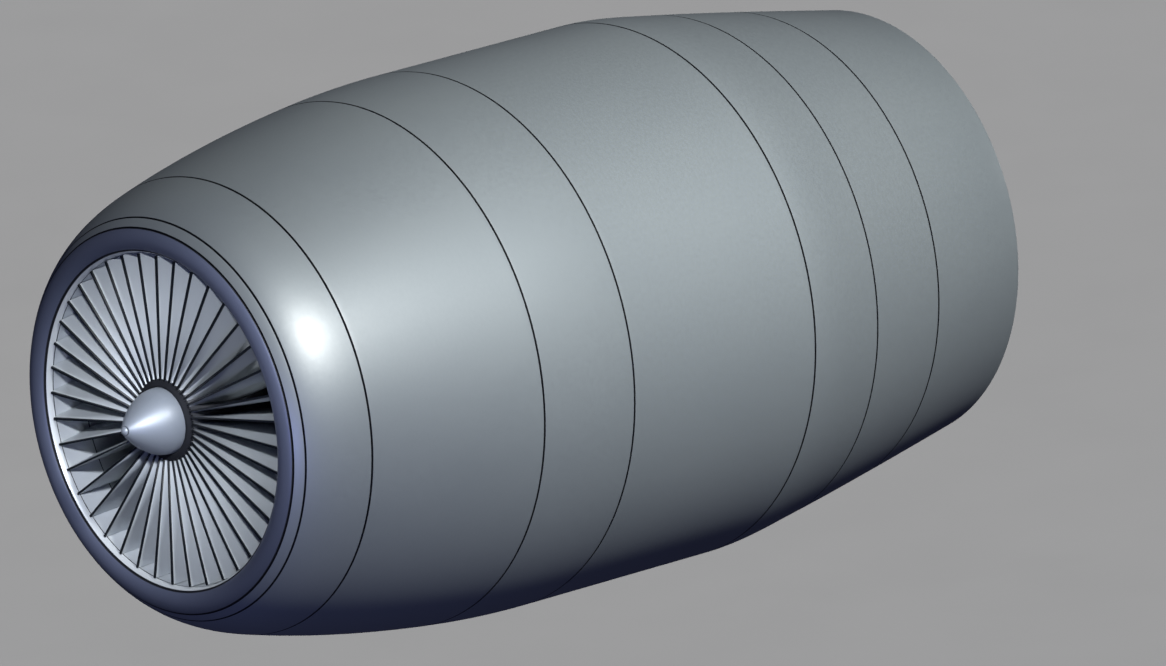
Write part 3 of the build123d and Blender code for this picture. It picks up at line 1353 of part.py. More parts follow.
nozzle_vane_station = (COMBUSTOR_REAR_STATION + turbine_face - ROW_GAP) / 2
platform_end = turbine_face - ROW_GAP
with BuildPart() as turbine_case:
    with Locations(*row_places([nozzle_vane_station], CORE_BLADES, TURBINE_FRONT_RADIUS, VANE_STAGGER)):
        Box(ROW_THICKNESS, TURBINE_CHORD - ROW_THICKNESS, TURBINE_FRONT_RADIUS)
    with Locations(*row_places(turbine_vane_rows, CORE_BLADES, TURBINE_REAR_RADIUS, VANE_STAGGER)):
        Box(ROW_THICKNESS, TURBINE_CHORD - ROW_THICKNESS, TURBINE_REAR_RADIUS)
    revolve(
        outline(
            (TURBINE_FRONT_HUB - ROW_THICKNESS, COMBUSTOR_REAR_STATION),
            (TURBINE_FRONT_RADIUS + ROW_THICKNESS, COMBUSTOR_REAR_STATION),
            (TURBINE_FRONT_RADIUS + ROW_THICKNESS, wheel_rear + ROW_GAP),
            (LP_TURBINE_RADIUS + ROW_THICKNESS, LP_TURBINE_STATION),
            (TURBINE_REAR_RADIUS + ROW_THICKNESS, TURBINE_REAR_STATION),
            (TURBINE_REAR_HUB + TIP_CLEARANCE, TURBINE_REAR_STATION),
            (LP_TURBINE_HUB + TIP_CLEARANCE, LP_TURBINE_STATION),
            (TURBINE_FRONT_HUB + TIP_CLEARANCE, platform_end + ROW_GAP / 2),
            (TURBINE_FRONT_HUB - ROW_THICKNESS, platform_end),
        ),
        axis=Axis.Y,
        mode=Mode.INTERSECT,
    )
    revolve(
        outline(
            (TURBINE_FRONT_HUB, COMBUSTOR_REAR_STATION),
            (TURBINE_FRONT_HUB, platform_end),
            (TURBINE_FRONT_HUB - WHEEL_RIM / 2, platform_end),
            (TURBINE_FRONT_HUB - WHEEL_RIM / 2, COMBUSTOR_REAR_STATION),
        ),
        axis=Axis.Y,
    )
    revolve(
        outline(
            (TURBINE_FRONT_RADIUS, COMBUSTOR_REAR_STATION),
            (COMBUSTOR_RADIUS, COMBUSTOR_REAR_STATION),
            (COMBUSTOR_RADIUS, COMBUSTOR_REAR_STATION + FLANGE_THICKNESS),
            (TURBINE_FRONT_RADIUS + CORE_WALL, COMBUSTOR_REAR_STATION + FLANGE_THICKNESS),
            (TURBINE_FRONT_RADIUS + CORE_WALL, wheel_rear + ROW_GAP),
            (LP_TURBINE_RADIUS + CORE_WALL, LP_TURBINE_STATION),
            (TURBINE_REAR_RADIUS + CORE_WALL, TURBINE_REAR_STATION - FLANGE_THICKNESS),
            (frame_flange_radius, TURBINE_REAR_STATION - FLANGE_THICKNESS),
            (frame_flange_radius, TURBINE_REAR_STATION),
            (TURBINE_REAR_RADIUS, TURBINE_REAR_STATION),
            (LP_TURBINE_RADIUS, LP_TURBINE_STATION),
            (TURBINE_FRONT_RADIUS, wheel_rear + ROW_GAP),
        ),
        axis=Axis.Y,
    )
save(turbine_case, "turbine_case")

# Turbine rear frame: struts carry the hub and the rear bearing
rear_frame_middle = (TURBINE_REAR_STATION + REAR_FRAME_STATION) / 2
with BuildPart() as turbine_rear_frame:
    with Locations(*row_places([rear_frame_middle], FRAME_STRUTS, TURBINE_REAR_RADIUS, 0)):
        Box(STRUT_THICKNESS, REAR_STRUT_CHORD, TURBINE_REAR_RADIUS)
    revolve(
        outline(
            (TURBINE_REAR_HUB - CORE_WALL / 2, TURBINE_REAR_STATION),
            (TURBINE_REAR_RADIUS + CORE_WALL / 2, TURBINE_REAR_STATION),
            (TURBINE_REAR_RADIUS + CORE_WALL / 2, REAR_FRAME_STATION),
            (TURBINE_REAR_HUB - CORE_WALL / 2, REAR_FRAME_STATION),
        ),
        axis=Axis.Y,
        mode=Mode.INTERSECT,
    )
    revolve(
        outline(
            (TURBINE_REAR_RADIUS, TURBINE_REAR_STATION),
            (frame_flange_radius, TURBINE_REAR_STATION),
            (frame_flange_radius, TURBINE_REAR_STATION + FLANGE_THICKNESS),
            (TURBINE_REAR_RADIUS + CORE_WALL, TURBINE_REAR_STATION + FLANGE_THICKNESS),
            (TURBINE_REAR_RADIUS + CORE_WALL, REAR_FRAME_STATION - FLANGE_THICKNESS),
            (frame_flange_radius, REAR_FRAME_STATION - FLANGE_THICKNESS),
            (frame_flange_radius, REAR_FRAME_STATION),
            (TURBINE_REAR_RADIUS, REAR_FRAME_STATION),
        ),
        axis=Axis.Y,
    )
    revolve(
        outline(
            (TURBINE_REAR_HUB, TURBINE_REAR_STATION),
            (TURBINE_REAR_HUB, REAR_FRAME_STATION),
            (TURBINE_REAR_HUB - CORE_WALL, REAR_FRAME_STATION),
            (TURBINE_REAR_HUB - CORE_WALL, LP_REAR_BEARING + FLANGE_THICKNESS),
            (lp_housing_radius + CORE_WALL, LP_REAR_BEARING + FLANGE_THICKNESS),
            (lp_housing_radius + CORE_WALL, LP_REAR_BEARING + half_race),
            (lp_housing_radius, LP_REAR_BEARING + half_race),
            (lp_housing_radius, LP_REAR_BEARING - half_race),
            (lp_housing_radius + CORE_WALL, LP_REAR_BEARING - half_race),
            (lp_housing_radius + CORE_WALL, LP_REAR_BEARING),
            (TURBINE_REAR_HUB - CORE_WALL, LP_REAR_BEARING),
            (TURBINE_REAR_HUB - CORE_WALL, TURBINE_REAR_STATION),
        ),
        axis=Axis.Y,
    )
save(turbine_rear_frame, "turbine_rear_frame")

# Core nozzle and tail cone, behind the rear frame
with BuildPart() as core_nozzle:
    with BuildSketch():
        with BuildLine():
            wall = Spline(
                (TURBINE_REAR_RADIUS, at(REAR_FRAME_STATION)),
                (CORE_NOZZLE_RADIUS, at(CORE_NOZZLE_STATION)),
                tangents=[direction(DUCT_SLOPE), direction(NOZZLE_EXIT_SLOPE)],
            )
            Polyline(
                wall @ 0,
                (cowl_end_radius, at(REAR_FRAME_STATION)),
                (cowl_end_radius, at(REAR_FRAME_STATION + FLANGE_THICKNESS)),
                (TURBINE_REAR_RADIUS + NOZZLE_SKIN, at(REAR_FRAME_STATION + FLANGE_THICKNESS)),
            )
            Line(wall @ 1, wall @ 1 + Vector(NOZZLE_SKIN, 0))
            Spline(
                (TURBINE_REAR_RADIUS + NOZZLE_SKIN, at(REAR_FRAME_STATION + FLANGE_THICKNESS)),
                (CORE_NOZZLE_RADIUS + NOZZLE_SKIN, at(CORE_NOZZLE_STATION)),
                tangents=[direction(DUCT_SLOPE), direction(NOZZLE_EXIT_SLOPE)],
            )
        make_face()
    revolve(axis=Axis.Y)
save(core_nozzle, "core_nozzle")

with BuildPart() as tail_cone:
    with BuildSketch():
        with BuildLine():
            skin = Spline(
                (TURBINE_REAR_HUB, at(REAR_FRAME_STATION)),
                (0, at(TAIL_CONE_STATION)),
                tangents=[(0, 1), direction(-TAIL_CONE_SLOPE)],
            )
            hollow = Spline(
                (TURBINE_REAR_HUB - CORE_WALL, at(REAR_FRAME_STATION)),
                (0, at(TAIL_CONE_STATION - 3 * CORE_WALL)),
                tangents=[(0, 1), direction(-TAIL_CONE_SLOPE)],
            )
            Line(skin @ 0, hollow @ 0)
            Line(skin @ 1, hollow @ 1)
        make_face()
    revolve(axis=Axis.Y)
save(tail_cone, "tail_cone")


# Low-pressure shaft, from the fan disk's flange to the rear bearing
with BuildPart() as lp_shaft:
    revolve(
        outline(
            (LP_SHAFT_BORE, disk_middle - DISK_WEB - FLANGE_THICKNESS),
            (LP_SHAFT_RADIUS, disk_middle - DISK_WEB - FLANGE_THICKNESS),
            (LP_SHAFT_RADIUS, SHAFT_FLANGE_STATION),
            (DISK_HUB_RADIUS, SHAFT_FLANGE_STATION),
            (DISK_HUB_RADIUS, SHAFT_FLANGE_STATION + 2 * FLANGE_THICKNESS),
            (LP_SHAFT_RADIUS, SHAFT_FLANGE_STATION + 2 * FLANGE_THICKNESS),
            (LP_SHAFT_RADIUS, drive_station),
            (LP_FLANGE_RADIUS, drive_station),
            (LP_FLANGE_RADIUS, drive_station + FLANGE_THICKNESS),
            (LP_SHAFT_RADIUS, drive_station + FLANGE_THICKNESS),
            (LP_SHAFT_RADIUS, LP_REAR_BEARING + half_race + FLANGE_THICKNESS),
            (LP_SHAFT_BORE, LP_REAR_BEARING + half_race + FLANGE_THICKNESS),
        ),
        axis=Axis.Y,
    )
save(lp_shaft, "lp_shaft")


# Roller bearings: two races and a set of rollers in a windowed cage
def hoop(inner_radius, outer_radius, station, length):
    """Plain ring round the shaft line."""
    front = station - length / 2
    rear = station + length / 2
    return outline((inner_radius, front), (outer_radius, front), (outer_radius, rear), (inner_radius, rear))


def bearing(name, shaft_radius, station):
    inner_radius = shaft_radius + SHAFT_FIT
    track_radius = inner_radius + RACE_THICKNESS
    roller_radius = ROLLER_DIAMETER / 2
    pitch_radius = track_radius + ROLLER_FIT + roller_radius
    far_radius = pitch_radius + roller_radius + ROLLER_FIT
    with BuildPart() as inner_race:
        revolve(hoop(inner_radius, track_radius, station, RACE_LENGTH), axis=Axis.Y)
    save(inner_race, f"{name}_inner_race")
    with BuildPart() as outer_race:
        revolve(hoop(far_radius, far_radius + RACE_THICKNESS, station, RACE_LENGTH), axis=Axis.Y)
    save(outer_race, f"{name}_outer_race")
    roller_place = Location((0, at(station), pitch_radius), (90, 0, 0))
    cage_inner = pitch_radius - CAGE_THICKNESS / 2
    cage_length = ROLLER_LENGTH + 2 * CAGE_THICKNESS
    with BuildPart() as rollers:
        revolve(hoop(cage_inner, cage_inner + CAGE_THICKNESS, station, cage_length), axis=Axis.Y)
        with Locations(*[turn * roller_place for turn in turns(ROLLER_COUNT)]):
            Cylinder(roller_radius + SHAFT_FIT, ROLLER_LENGTH + 2 * SHAFT_FIT, mode=Mode.SUBTRACT)
            Cylinder(roller_radius, ROLLER_LENGTH)
    save(rollers, f"{name}_rollers")


bearing("lp_front_bearing", LP_SHAFT_RADIUS, LP_FRONT_BEARING)
bearing("lp_rear_bearing", LP_SHAFT_RADIUS, LP_REAR_BEARING)
bearing("core_front_bearing", CORE_SHAFT_RADIUS, CORE_FRONT_BEARING)
bearing("core_rear_bearing", CORE_SHAFT_RADIUS, CORE_REAR_BEARING)


# Mount beams: each seats on a flat pad and ends in a bolted face under an opening in the cowl
def flank(face, station):
    """Plane across the hidden flank, facing away from the shaft line."""
    return Plane(origin=(-face, at(station), 0), x_dir=(0, 1, 0), z_dir=(-1, 0, 0))


def mount_beam(name, seat, face, station):
    with BuildPart() as beam:
        with BuildSketch(flank(seat, station)):
            RectangleRounded(MOUNT_LENGTH - 4 * MOUNT_PLAY, MOUNT_HEIGHT - 2 * MOUNT_PLAY, MOUNT_BOLT_RADIUS)
        extrude(amount=face - seat - MOUNT_PLATE)
        with BuildSketch(flank(face - MOUNT_PLATE, station)):
            RectangleRounded(MOUNT_LENGTH, MOUNT_HEIGHT, MOUNT_BOLT_RADIUS)
        extrude(amount=MOUNT_PLATE)
        with Locations(flank(face, station)):
            with GridLocations(MOUNT_BOLT_SPACING_Y, MOUNT_BOLT_SPACING_Z, 2, 2):
                Hole(MOUNT_BOLT_RADIUS, MOUNT_BOLT_DEPTH)
    save(beam, name)


mount_beam("forward_mount", flange_radius + PAD_RISE, FORWARD_MOUNT_FACE, FORWARD_MOUNT_STATION)
mount_beam("aft_mount", pad_seat, AFT_MOUNT_FACE, AFT_MOUNT_STATION)
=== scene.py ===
# %% [markdown]
# # A turbofan engine, dressed and lit
# The solids of the engine come from a CAD model. Each solid keeps its place and its shape. This lesson gives
# every one of them the finish of the real piece, and gives the picture a floor, soft lights and a camera.
# All lengths are metres. The shaft lies along Y, the intake faces -Y and +Z is up.

# %% Load the frame
import json
import math

import bmesh
import bpy
import numpy as np
from mathutils import Matrix, Vector


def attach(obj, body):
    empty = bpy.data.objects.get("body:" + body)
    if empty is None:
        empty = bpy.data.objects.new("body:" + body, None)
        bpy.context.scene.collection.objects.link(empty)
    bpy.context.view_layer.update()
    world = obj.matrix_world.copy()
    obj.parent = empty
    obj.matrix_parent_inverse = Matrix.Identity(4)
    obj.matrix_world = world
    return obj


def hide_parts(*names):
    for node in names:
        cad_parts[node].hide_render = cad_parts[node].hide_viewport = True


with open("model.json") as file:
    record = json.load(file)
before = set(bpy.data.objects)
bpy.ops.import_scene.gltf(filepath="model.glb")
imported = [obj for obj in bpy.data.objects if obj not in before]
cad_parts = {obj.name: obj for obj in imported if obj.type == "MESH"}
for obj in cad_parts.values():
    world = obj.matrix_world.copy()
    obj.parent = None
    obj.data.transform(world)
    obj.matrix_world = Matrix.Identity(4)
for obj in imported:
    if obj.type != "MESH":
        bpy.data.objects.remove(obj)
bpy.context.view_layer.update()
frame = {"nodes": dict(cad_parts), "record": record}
scene = bpy.context.scene
nodes = frame["nodes"]
print("solids loaded:", len(nodes))

# %% [markdown]
# ## The camera
# The drawing that this engine follows is a parallel view: circles round the shaft keep their size from one
# end to the other. A very long lens far away comes close to that, and still works when the camera is moved
# round the engine. The view is given by two angles, by the point of the shaft line that lands in the middle
# of the picture, and by the length that the picture's width spans.

# %% Camera
PICTURE = (1166, 666)
AZIMUTH = math.radians(47.35)
ELEVATION = math.radians(17.7)
LENS = 800.0
SENSOR = 36.0
VIEW_WIDTH = 4.164
VIEW_STATION = 0.4018
VIEW_DROP = 0.1057


def view_axes(azimuth, elevation):
    """Right, up and backward unit vectors of a camera that looks at the engine from these two angles."""
    back = Vector((
        math.sin(azimuth) * math.cos(elevation),
        -math.cos(azimuth) * math.cos(elevation),
        math.sin(elevation),
    ))
    right = Vector((math.cos(azimuth), math.sin(azimuth), 0.0))
    return right, back.cross(right), back


right, up, back = view_axes(AZIMUTH, ELEVATION)
target = Vector((0.0, VIEW_STATION, 0.0)) - VIEW_DROP * up
distance = VIEW_WIDTH * LENS / SENSOR
camera = bpy.data.objects.new("camera", bpy.data.cameras.new("camera"))
camera.data.lens = LENS
camera.data.sensor_width = SENSOR
camera.data.clip_end = 2.5 * distance
place = Matrix((right, up, back)).transposed().to_4x4()
place.translation = target + distance * back
camera.matrix_world = place
scene.collection.objects.link(camera)
scene.camera = camera
print("camera", round(distance, 1), "m away")

# %% [markdown]
# ## The floor
# The engine hangs from the mounts on its far flank, high above a plain pale floor. One large flat sheet is
# enough: the long lens never sees its edge. A bright floor would light the belly, which is dark in the
# drawing. So only the camera sees this one: the rays that gather light from the surroundings pass through it.

# %% Floor
FLOOR_LEVEL = -6.0
FLOOR_REACH = 120.0


def flat_sheet(name, reach, level):
    """A square sheet: x and y each run from -reach to +reach, and z is level."""
    grid = np.array([[-1, -1], [1, -1], [1, 1], [-1, 1]], dtype=float) * reach
    points = np.column_stack([grid, np.full(4, level)])
    mesh = bpy.data.meshes.new(name)
    mesh.from_pydata(points.tolist(), [], [(0, 1, 2, 3)])
    sheet = bpy.data.objects.new(name, mesh)
    scene.collection.objects.link(sheet)
    return sheet


floor = flat_sheet("floor", FLOOR_REACH, FLOOR_LEVEL)
floor.visible_diffuse = False
floor.visible_glossy = False
print("floor", FLOOR_LEVEL)

# %% [markdown]
# ## The light
# The drawing has one bright light, high on the right of the intake. It leaves a small hot spot on the front
# cowl and lets the belly fall off to a dark blue-grey. A far soft spotlight stands there. Its narrow cone
# covers the engine alone. A second, cooler one looks into the intake from above the camera, so that the
# blades show. It's linked to the pieces of the intake further down, and leaves the cowls to the first. A weak
# blue one fills the shadows of the front. A fourth stands right opposite the camera, so it lights the far
# flank and leaves the near outline alone. A fifth looks into the exhaust. The floor has a sun of its own,
# which is linked to it and lights nothing else.
# The world gives next to no light. It's pale only where the camera looks past the floor. The Standard view
# shows tones as they are: the usual one presses bright and dark together, which would wash out the belly.

# %% Lights
SPOT_BLEND = 0.35


def soft_spot(name, toward, reach, aim, cone, softness, watts, colour):
    """Round soft spotlight that stands off the engine along a direction. Its cone, in degrees, is centred
    on aim, and softness is the radius that it shines from."""
    data = bpy.data.lights.new(name, "SPOT")
    data.energy = watts
    data.color = colour
    data.spot_size = math.radians(cone)
    data.spot_blend = SPOT_BLEND
    data.shadow_soft_size = softness
    lamp = bpy.data.objects.new(name, data)
    lamp.visible_camera = False
    lamp.location = Vector(aim) + Vector(toward).normalized() * reach
    lamp.rotation_mode = "QUATERNION"
    lamp.rotation_quaternion = Vector(toward).to_track_quat("Z", "Y")
    scene.collection.objects.link(lamp)
    return lamp


soft_spot(
    "key_light", toward=(0.722, -0.196, 0.661), reach=30.0, aim=(0.0, 0.75, 0.0), cone=12.0, softness=2.0,
    watts=33500.0, colour=(0.98, 0.995, 0.975),
)
intake_light = soft_spot(
    "intake_light", toward=(0.58, -0.62, 0.50), reach=10.0, aim=(0.0, -1.6, 0.0), cone=7.8, softness=0.3,
    watts=5600.0, colour=(0.88, 0.92, 1.0),
)
soft_spot(
    "front_fill", toward=(0.60, -0.80, -0.10), reach=14.0, aim=(0.0, -0.9, 0.0), cone=14.0, softness=1.5,
    watts=1100.0, colour=(0.38, 0.44, 1.0),
)
soft_spot(
    "far_light", toward=(-0.70, 0.645, -0.304), reach=14.0, aim=(0.0, 0.0, 0.0), cone=20.0, softness=0.4,
    watts=6000.0, colour=(0.90, 0.95, 1.0),
)
soft_spot(
    "exhaust_light", toward=(0.30, 0.92, 0.22), reach=12.0, aim=(0.0, 1.75, 0.0), cone=5.6, softness=0.2,
    watts=5000.0, colour=(1.0, 0.97, 0.93),
)
print("spotlights", 5)

# %% [markdown]
# The sun above the floor shines straight down, so its height doesn't matter. The world mixes two colours: the
# camera sees the pale one, and every other ray meets the dark one.

# %% Floor light and world
FLOOR_SUN = 2.5
SUN_HEIGHT = 20.0
DARK_WORLD = (0.010, 0.0105, 0.020, 1.0)
PALE_WORLD = (0.330, 0.330, 0.335, 1.0)
MIX_FIRST, MIX_SECOND, MIX_RESULT = 6, 7, 2

sun = bpy.data.objects.new("floor_light", bpy.data.lights.new("floor_light", "SUN"))
sun.data.energy = FLOOR_SUN
sun.location = (0.0, 0.0, SUN_HEIGHT)
scene.collection.objects.link(sun)
lit_floor = bpy.data.collections.new("lit_by_floor_light")
lit_floor.objects.link(floor)
sun.light_linking.receiver_collection = lit_floor

world = bpy.data.worlds.new("studio")
world.use_nodes = True
background = world.node_tree.nodes["Background"]
seen = world.node_tree.nodes.new("ShaderNodeLightPath")
tone = world.node_tree.nodes.new("ShaderNodeMix")
tone.data_type = "RGBA"
tone.inputs[MIX_FIRST].default_value = DARK_WORLD
tone.inputs[MIX_SECOND].default_value = PALE_WORLD
world.node_tree.links.new(seen.outputs["Is Camera Ray"], tone.inputs["Factor"])
world.node_tree.links.new(tone.outputs[MIX_RESULT], background.inputs["Color"])
scene.world = world
scene.view_settings.view_transform = "Standard"
print("floor light", FLOOR_SUN)

# %% [markdown]
# ## How a finish is built
# Every finish starts from one Principled shader. The real pieces are turned, rolled or sprayed, so their
# marks run round the shaft, along it, or evenly all over. The next helper turns a point into shaft
# coordinates: how far round, how far along and how far out. Noise read in those coordinates, stretched along
# one of them, gives the marks.

# %% Shader helpers
NOISE_LOW, NOISE_HIGH = 0.3, 0.7


def node(tree, kind, **inputs):
    """Adds a shader node and sets its inputs by name."""
    made = tree.nodes.new(kind)
    for name, value in inputs.items():
        made.inputs[name.replace("_", " ")].default_value = value
    return made


def shaft_coordinates(tree):
    """Vector of (angle round the shaft in radians, distance along it, distance from it)."""
    place = tree.nodes.new("ShaderNodeTexCoord")
    split = tree.nodes.new("ShaderNodeSeparateXYZ")
    tree.links.new(place.outputs["Object"], split.inputs[0])
    flat = tree.nodes.new("ShaderNodeCombineXYZ")
    tree.links.new(split.outputs["X"], flat.inputs["X"])
    tree.links.new(split.outputs["Z"], flat.inputs["Z"])
    length = tree.nodes.new("ShaderNodeVectorMath")
    length.operation = "LENGTH"
    tree.links.new(flat.outputs[0], length.inputs[0])
    angle = tree.nodes.new("ShaderNodeMath")
    angle.operation = "ARCTAN2"
    tree.links.new(split.outputs["X"], angle.inputs[0])
    tree.links.new(split.outputs["Z"], angle.inputs[1])
    joined = tree.nodes.new("ShaderNodeCombineXYZ")
    tree.links.new(angle.outputs[0], joined.inputs["X"])
    tree.links.new(split.outputs["Y"], joined.inputs["Y"])
    tree.links.new(length.outputs["Value"], joined.inputs["Z"])
    return joined.outputs[0]


def stretched_noise(tree, vector, scale, detail=3.0):
    """Noise whose grain is 1/scale long in each direction of the vector."""
    stretch = tree.nodes.new("ShaderNodeVectorMath")
    stretch.operation = "MULTIPLY"
    stretch.inputs[1].default_value = scale
    tree.links.new(vector, stretch.inputs[0])
    noise = node(tree, "ShaderNodeTexNoise", Scale=1.0, Detail=detail)
    tree.links.new(stretch.outputs[0], noise.inputs["Vector"])
    return noise.outputs["Fac"]


def between_values(tree, factor, low, high):
    """Spreads a noise's middle range over low to high."""
    spread = node(tree, "ShaderNodeMapRange")
    spread.inputs["From Min"].default_value = NOISE_LOW
    spread.inputs["From Max"].default_value = NOISE_HIGH
    spread.inputs["To Min"].default_value = low
    spread.inputs["To Max"].default_value = high
    tree.links.new(factor, spread.inputs["Value"])
    return spread.outputs["Result"]


def blend_colours(tree, factor, first, second):
    """Mixes two colours, or what two sockets give, by a factor."""
    mix = tree.nodes.new("ShaderNodeMix")
    mix.data_type = "RGBA"
    tree.links.new(factor, mix.inputs["Factor"])
    for value, socket in ((first, mix.inputs[MIX_FIRST]), (second, mix.inputs[MIX_SECOND])):
        if isinstance(value, tuple):
            socket.default_value = (*value, 1.0)
        else:
            tree.links.new(value, socket)
    return mix.outputs[MIX_RESULT]


# %% [markdown]
# A finish is then a few numbers: two close colours that drift into each other, how metallic and how rough it
# is, how the marks are stretched, how deep the bump is, and how much clear coat lies over it.

# %% Finish
COAT_ROUGHNESS = 0.40
COAT_IOR = 2.1
ROUGH_SPREAD = 0.05
MARK_DETAIL = 5.0
MARK_DEPTH = 0.001

finishes = {}


def finish(name, light, dark, metallic, rough, marks, drift=(2.0, 1.2, 2.0), bump=0.02, coat=0.0):
    """Principled material, kept in finishes by name. Colour drifts slowly between two tones. Roughness and
    bump follow the finer marks."""
    material = bpy.data.materials.new(name)
    material.use_nodes = True
    tree = material.node_tree
    shader = tree.nodes["Principled BSDF"]
    shader.inputs["Metallic"].default_value = metallic
    shader.inputs["Coat Weight"].default_value = coat
    shader.inputs["Coat Roughness"].default_value = COAT_ROUGHNESS
    shader.inputs["Coat IOR"].default_value = COAT_IOR
    round_shaft = shaft_coordinates(tree)
    slow = between_values(tree, stretched_noise(tree, round_shaft, drift), 0.0, 1.0)
    tree.links.new(blend_colours(tree, slow, light, dark), shader.inputs["Base Color"])
    fine = stretched_noise(tree, round_shaft, marks, MARK_DETAIL)
    uneven = between_values(tree, fine, rough - ROUGH_SPREAD, rough + ROUGH_SPREAD)
    tree.links.new(uneven, shader.inputs["Roughness"])
    relief = node(tree, "ShaderNodeBump", Strength=bump, Distance=MARK_DEPTH)
    tree.links.new(fine, relief.inputs["Height"])
    tree.links.new(relief.outputs["Normal"], shader.inputs["Normal"])
    finishes[name] = material
    return material


# %% [markdown]
# ## Nacelle finishes
# The cowls are sheet metal under satin paint with a clear coat, smooth enough to show one soft highlight.
# Real paint is never quite even: it drifts a little in tone from panel to panel and has a faint orange peel.
# The lip is darker metal. A dark sealant covers the edges of two rings where they meet.

# %% Nacelle finishes
finish(
    "cowl_paint", (0.545, 0.610, 0.640), (0.510, 0.575, 0.610),
    metallic=0.50, rough=0.60, marks=(60.0, 90.0, 90.0), coat=1.0,
)
finish(
    "lip_metal", (0.125, 0.142, 0.215), (0.115, 0.132, 0.200),
    metallic=0.45, rough=0.40, marks=(6.0, 500.0, 500.0), bump=0.006,
)
finish(
    "duct_metal", (0.58, 0.61, 0.63), (0.53, 0.56, 0.59),
    metallic=0.25, rough=0.42, marks=(6.0, 400.0, 400.0),
)
finish(
    "seam_sealant", (0.012, 0.013, 0.018), (0.008, 0.009, 0.013),
    metallic=0.0, rough=0.55, marks=(90.0, 200.0, 200.0),
)
finish(
    "frame_metal", (0.030, 0.034, 0.042), (0.022, 0.025, 0.032),
    metallic=0.3, rough=0.6, marks=(40.0, 40.0, 40.0),
)
print("nacelle finishes", len(finishes))

# %% [markdown]
# ## Fan finishes
# The blades are milled, so their marks run from root to tip. The front of each leading edge is painted near
# black: painted shade, standing for the shade that falls on faces turned straight forward. The blades' edges
# lie in one plane, so the distance from that plane tells the painted shade apart.

# %% Fan finishes
# Painted shade: the blades' forward-facing leading edges are coloured near black in place of their shade.
PAINTED_SHADE_END = -1.5995
PAINTED_SHADE_COLOUR = (0.006, 0.008, 0.012)


def add_painted_shade(material):
    """Gives a finish a near-black painted shade on the points ahead of the plane of the blades' leading
    edges.
    """
    tree = material.node_tree
    shader = tree.nodes["Principled BSDF"]
    place = tree.nodes.new("ShaderNodeTexCoord")
    split = tree.nodes.new("ShaderNodeSeparateXYZ")
    tree.links.new(place.outputs["Object"], split.inputs[0])
    painted_shade_mask = tree.nodes.new("ShaderNodeMath")
    painted_shade_mask.operation = "LESS_THAN"
    painted_shade_mask.inputs[1].default_value = PAINTED_SHADE_END
    tree.links.new(split.outputs["Y"], painted_shade_mask.inputs[0])
    flank = shader.inputs["Base Color"].links[0].from_socket
    painted_shade = blend_colours(tree, painted_shade_mask.outputs[0], flank, PAINTED_SHADE_COLOUR)
    tree.links.new(painted_shade, shader.inputs["Base Color"])


# The blade finish carries the painted shade on its leading edges.
add_painted_shade(finish(
    "blade_metal", (0.50, 0.53, 0.545), (0.46, 0.49, 0.505),
    metallic=0.2, rough=0.46, marks=(300.0, 300.0, 8.0),
))
finish(
    "spinner_paint", (0.27, 0.30, 0.345), (0.25, 0.28, 0.325),
    metallic=0.35, rough=0.50, marks=(5.0, 500.0, 500.0), bump=0.006, coat=0.2,
)
# The near-black dark_metal finish is painted shade: it stands for the shade on the retaining ring's front
# face.
finish(
    "dark_metal", (0.012, 0.013, 0.017), (0.009, 0.010, 0.013),
    metallic=0.2, rough=0.6, marks=(60.0, 200.0, 200.0),
)
finish(
    "disk_metal", (0.20, 0.205, 0.22), (0.17, 0.175, 0.19),
    metallic=0.8, rough=0.36, marks=(6.0, 700.0, 700.0),
)
print("fan finishes", len(finishes))

# %% [markdown]
# ## Core, exhaust and mount finishes
# Cases are bare castings. Everything behind the combustor runs hot, and nickel alloys take on a brown and
# blue bloom there. Races, rollers and shafts are ground bright.

# %% Core finishes
finish(
    "case_metal", (0.33, 0.335, 0.345), (0.27, 0.275, 0.285),
    metallic=0.6, rough=0.5, marks=(80.0, 80.0, 80.0), bump=0.1,
)
finish(
    "hot_metal", (0.215, 0.185, 0.160), (0.130, 0.135, 0.170),
    metallic=0.85, rough=0.40, marks=(6.0, 300.0, 300.0),
)
finish(
    "bearing_steel", (0.52, 0.52, 0.53), (0.46, 0.46, 0.47),
    metallic=1.0, rough=0.18, marks=(6.0, 900.0, 900.0),
)
finish(
    "mount_steel", (0.22, 0.225, 0.235), (0.18, 0.185, 0.195),
    metallic=0.8, rough=0.42, marks=(90.0, 90.0, 90.0),
)
print("all finishes", len(finishes))

# %% [markdown]
# ## Dressing the solids
# The record of the engine says which finish each solid has. The solid's own material slot takes it.

# %% Dress the solids
slot_of = {row["node"]: row["material_slot"] for row in frame["record"]["subparts"]}
body_of = {name: body for body, names in frame["record"]["behaviour"]["bodies"].items() for name in names}
for name, solid in nodes.items():
    solid.data.materials.clear()
    solid.data.materials.append(finishes[slot_of[name]])
print("dressed", len(nodes))

# %% [markdown]
# ## Turned surfaces
# The nacelle is a row of rings that are round to a fraction of a millimetre, and a satin finish shows every
# facet. So the outer rings are made again as fine surfaces of revolution. A ring is its outline beside the
# shaft, carried round: a point of the surface depends on how far round it is and how far along the outline it
# is. Each outline follows the same stations, radii and slopes as the solid that it stands for, and its
# corners get the small radius that pressed sheet has.
# A station is a distance aft of the plane of the intake lip's seam. Each seam below has its station, its
# radius and the slope of the skin there, in degrees.

# %% Seams
ORIGIN_STATION = 1.61965
SEAM_HALF = 0.002

SEAMS = {
    "lip": (0.000, 0.697, 46.3),
    "band": (0.032, 0.727, 38.0),
    "inlet": (0.257, 0.826, 14.5),
    "forward": (0.961, 0.953, 6.5),
    "fan_ring": (1.370, 0.977, 0.0),
    "centre": (2.244, 0.977, 0.0),
    "taper": (2.586, 0.936, -8.9),
    "rear": (2.943, 0.875, -10.2),
    "edge": (3.420, 0.786, -10.8),
}


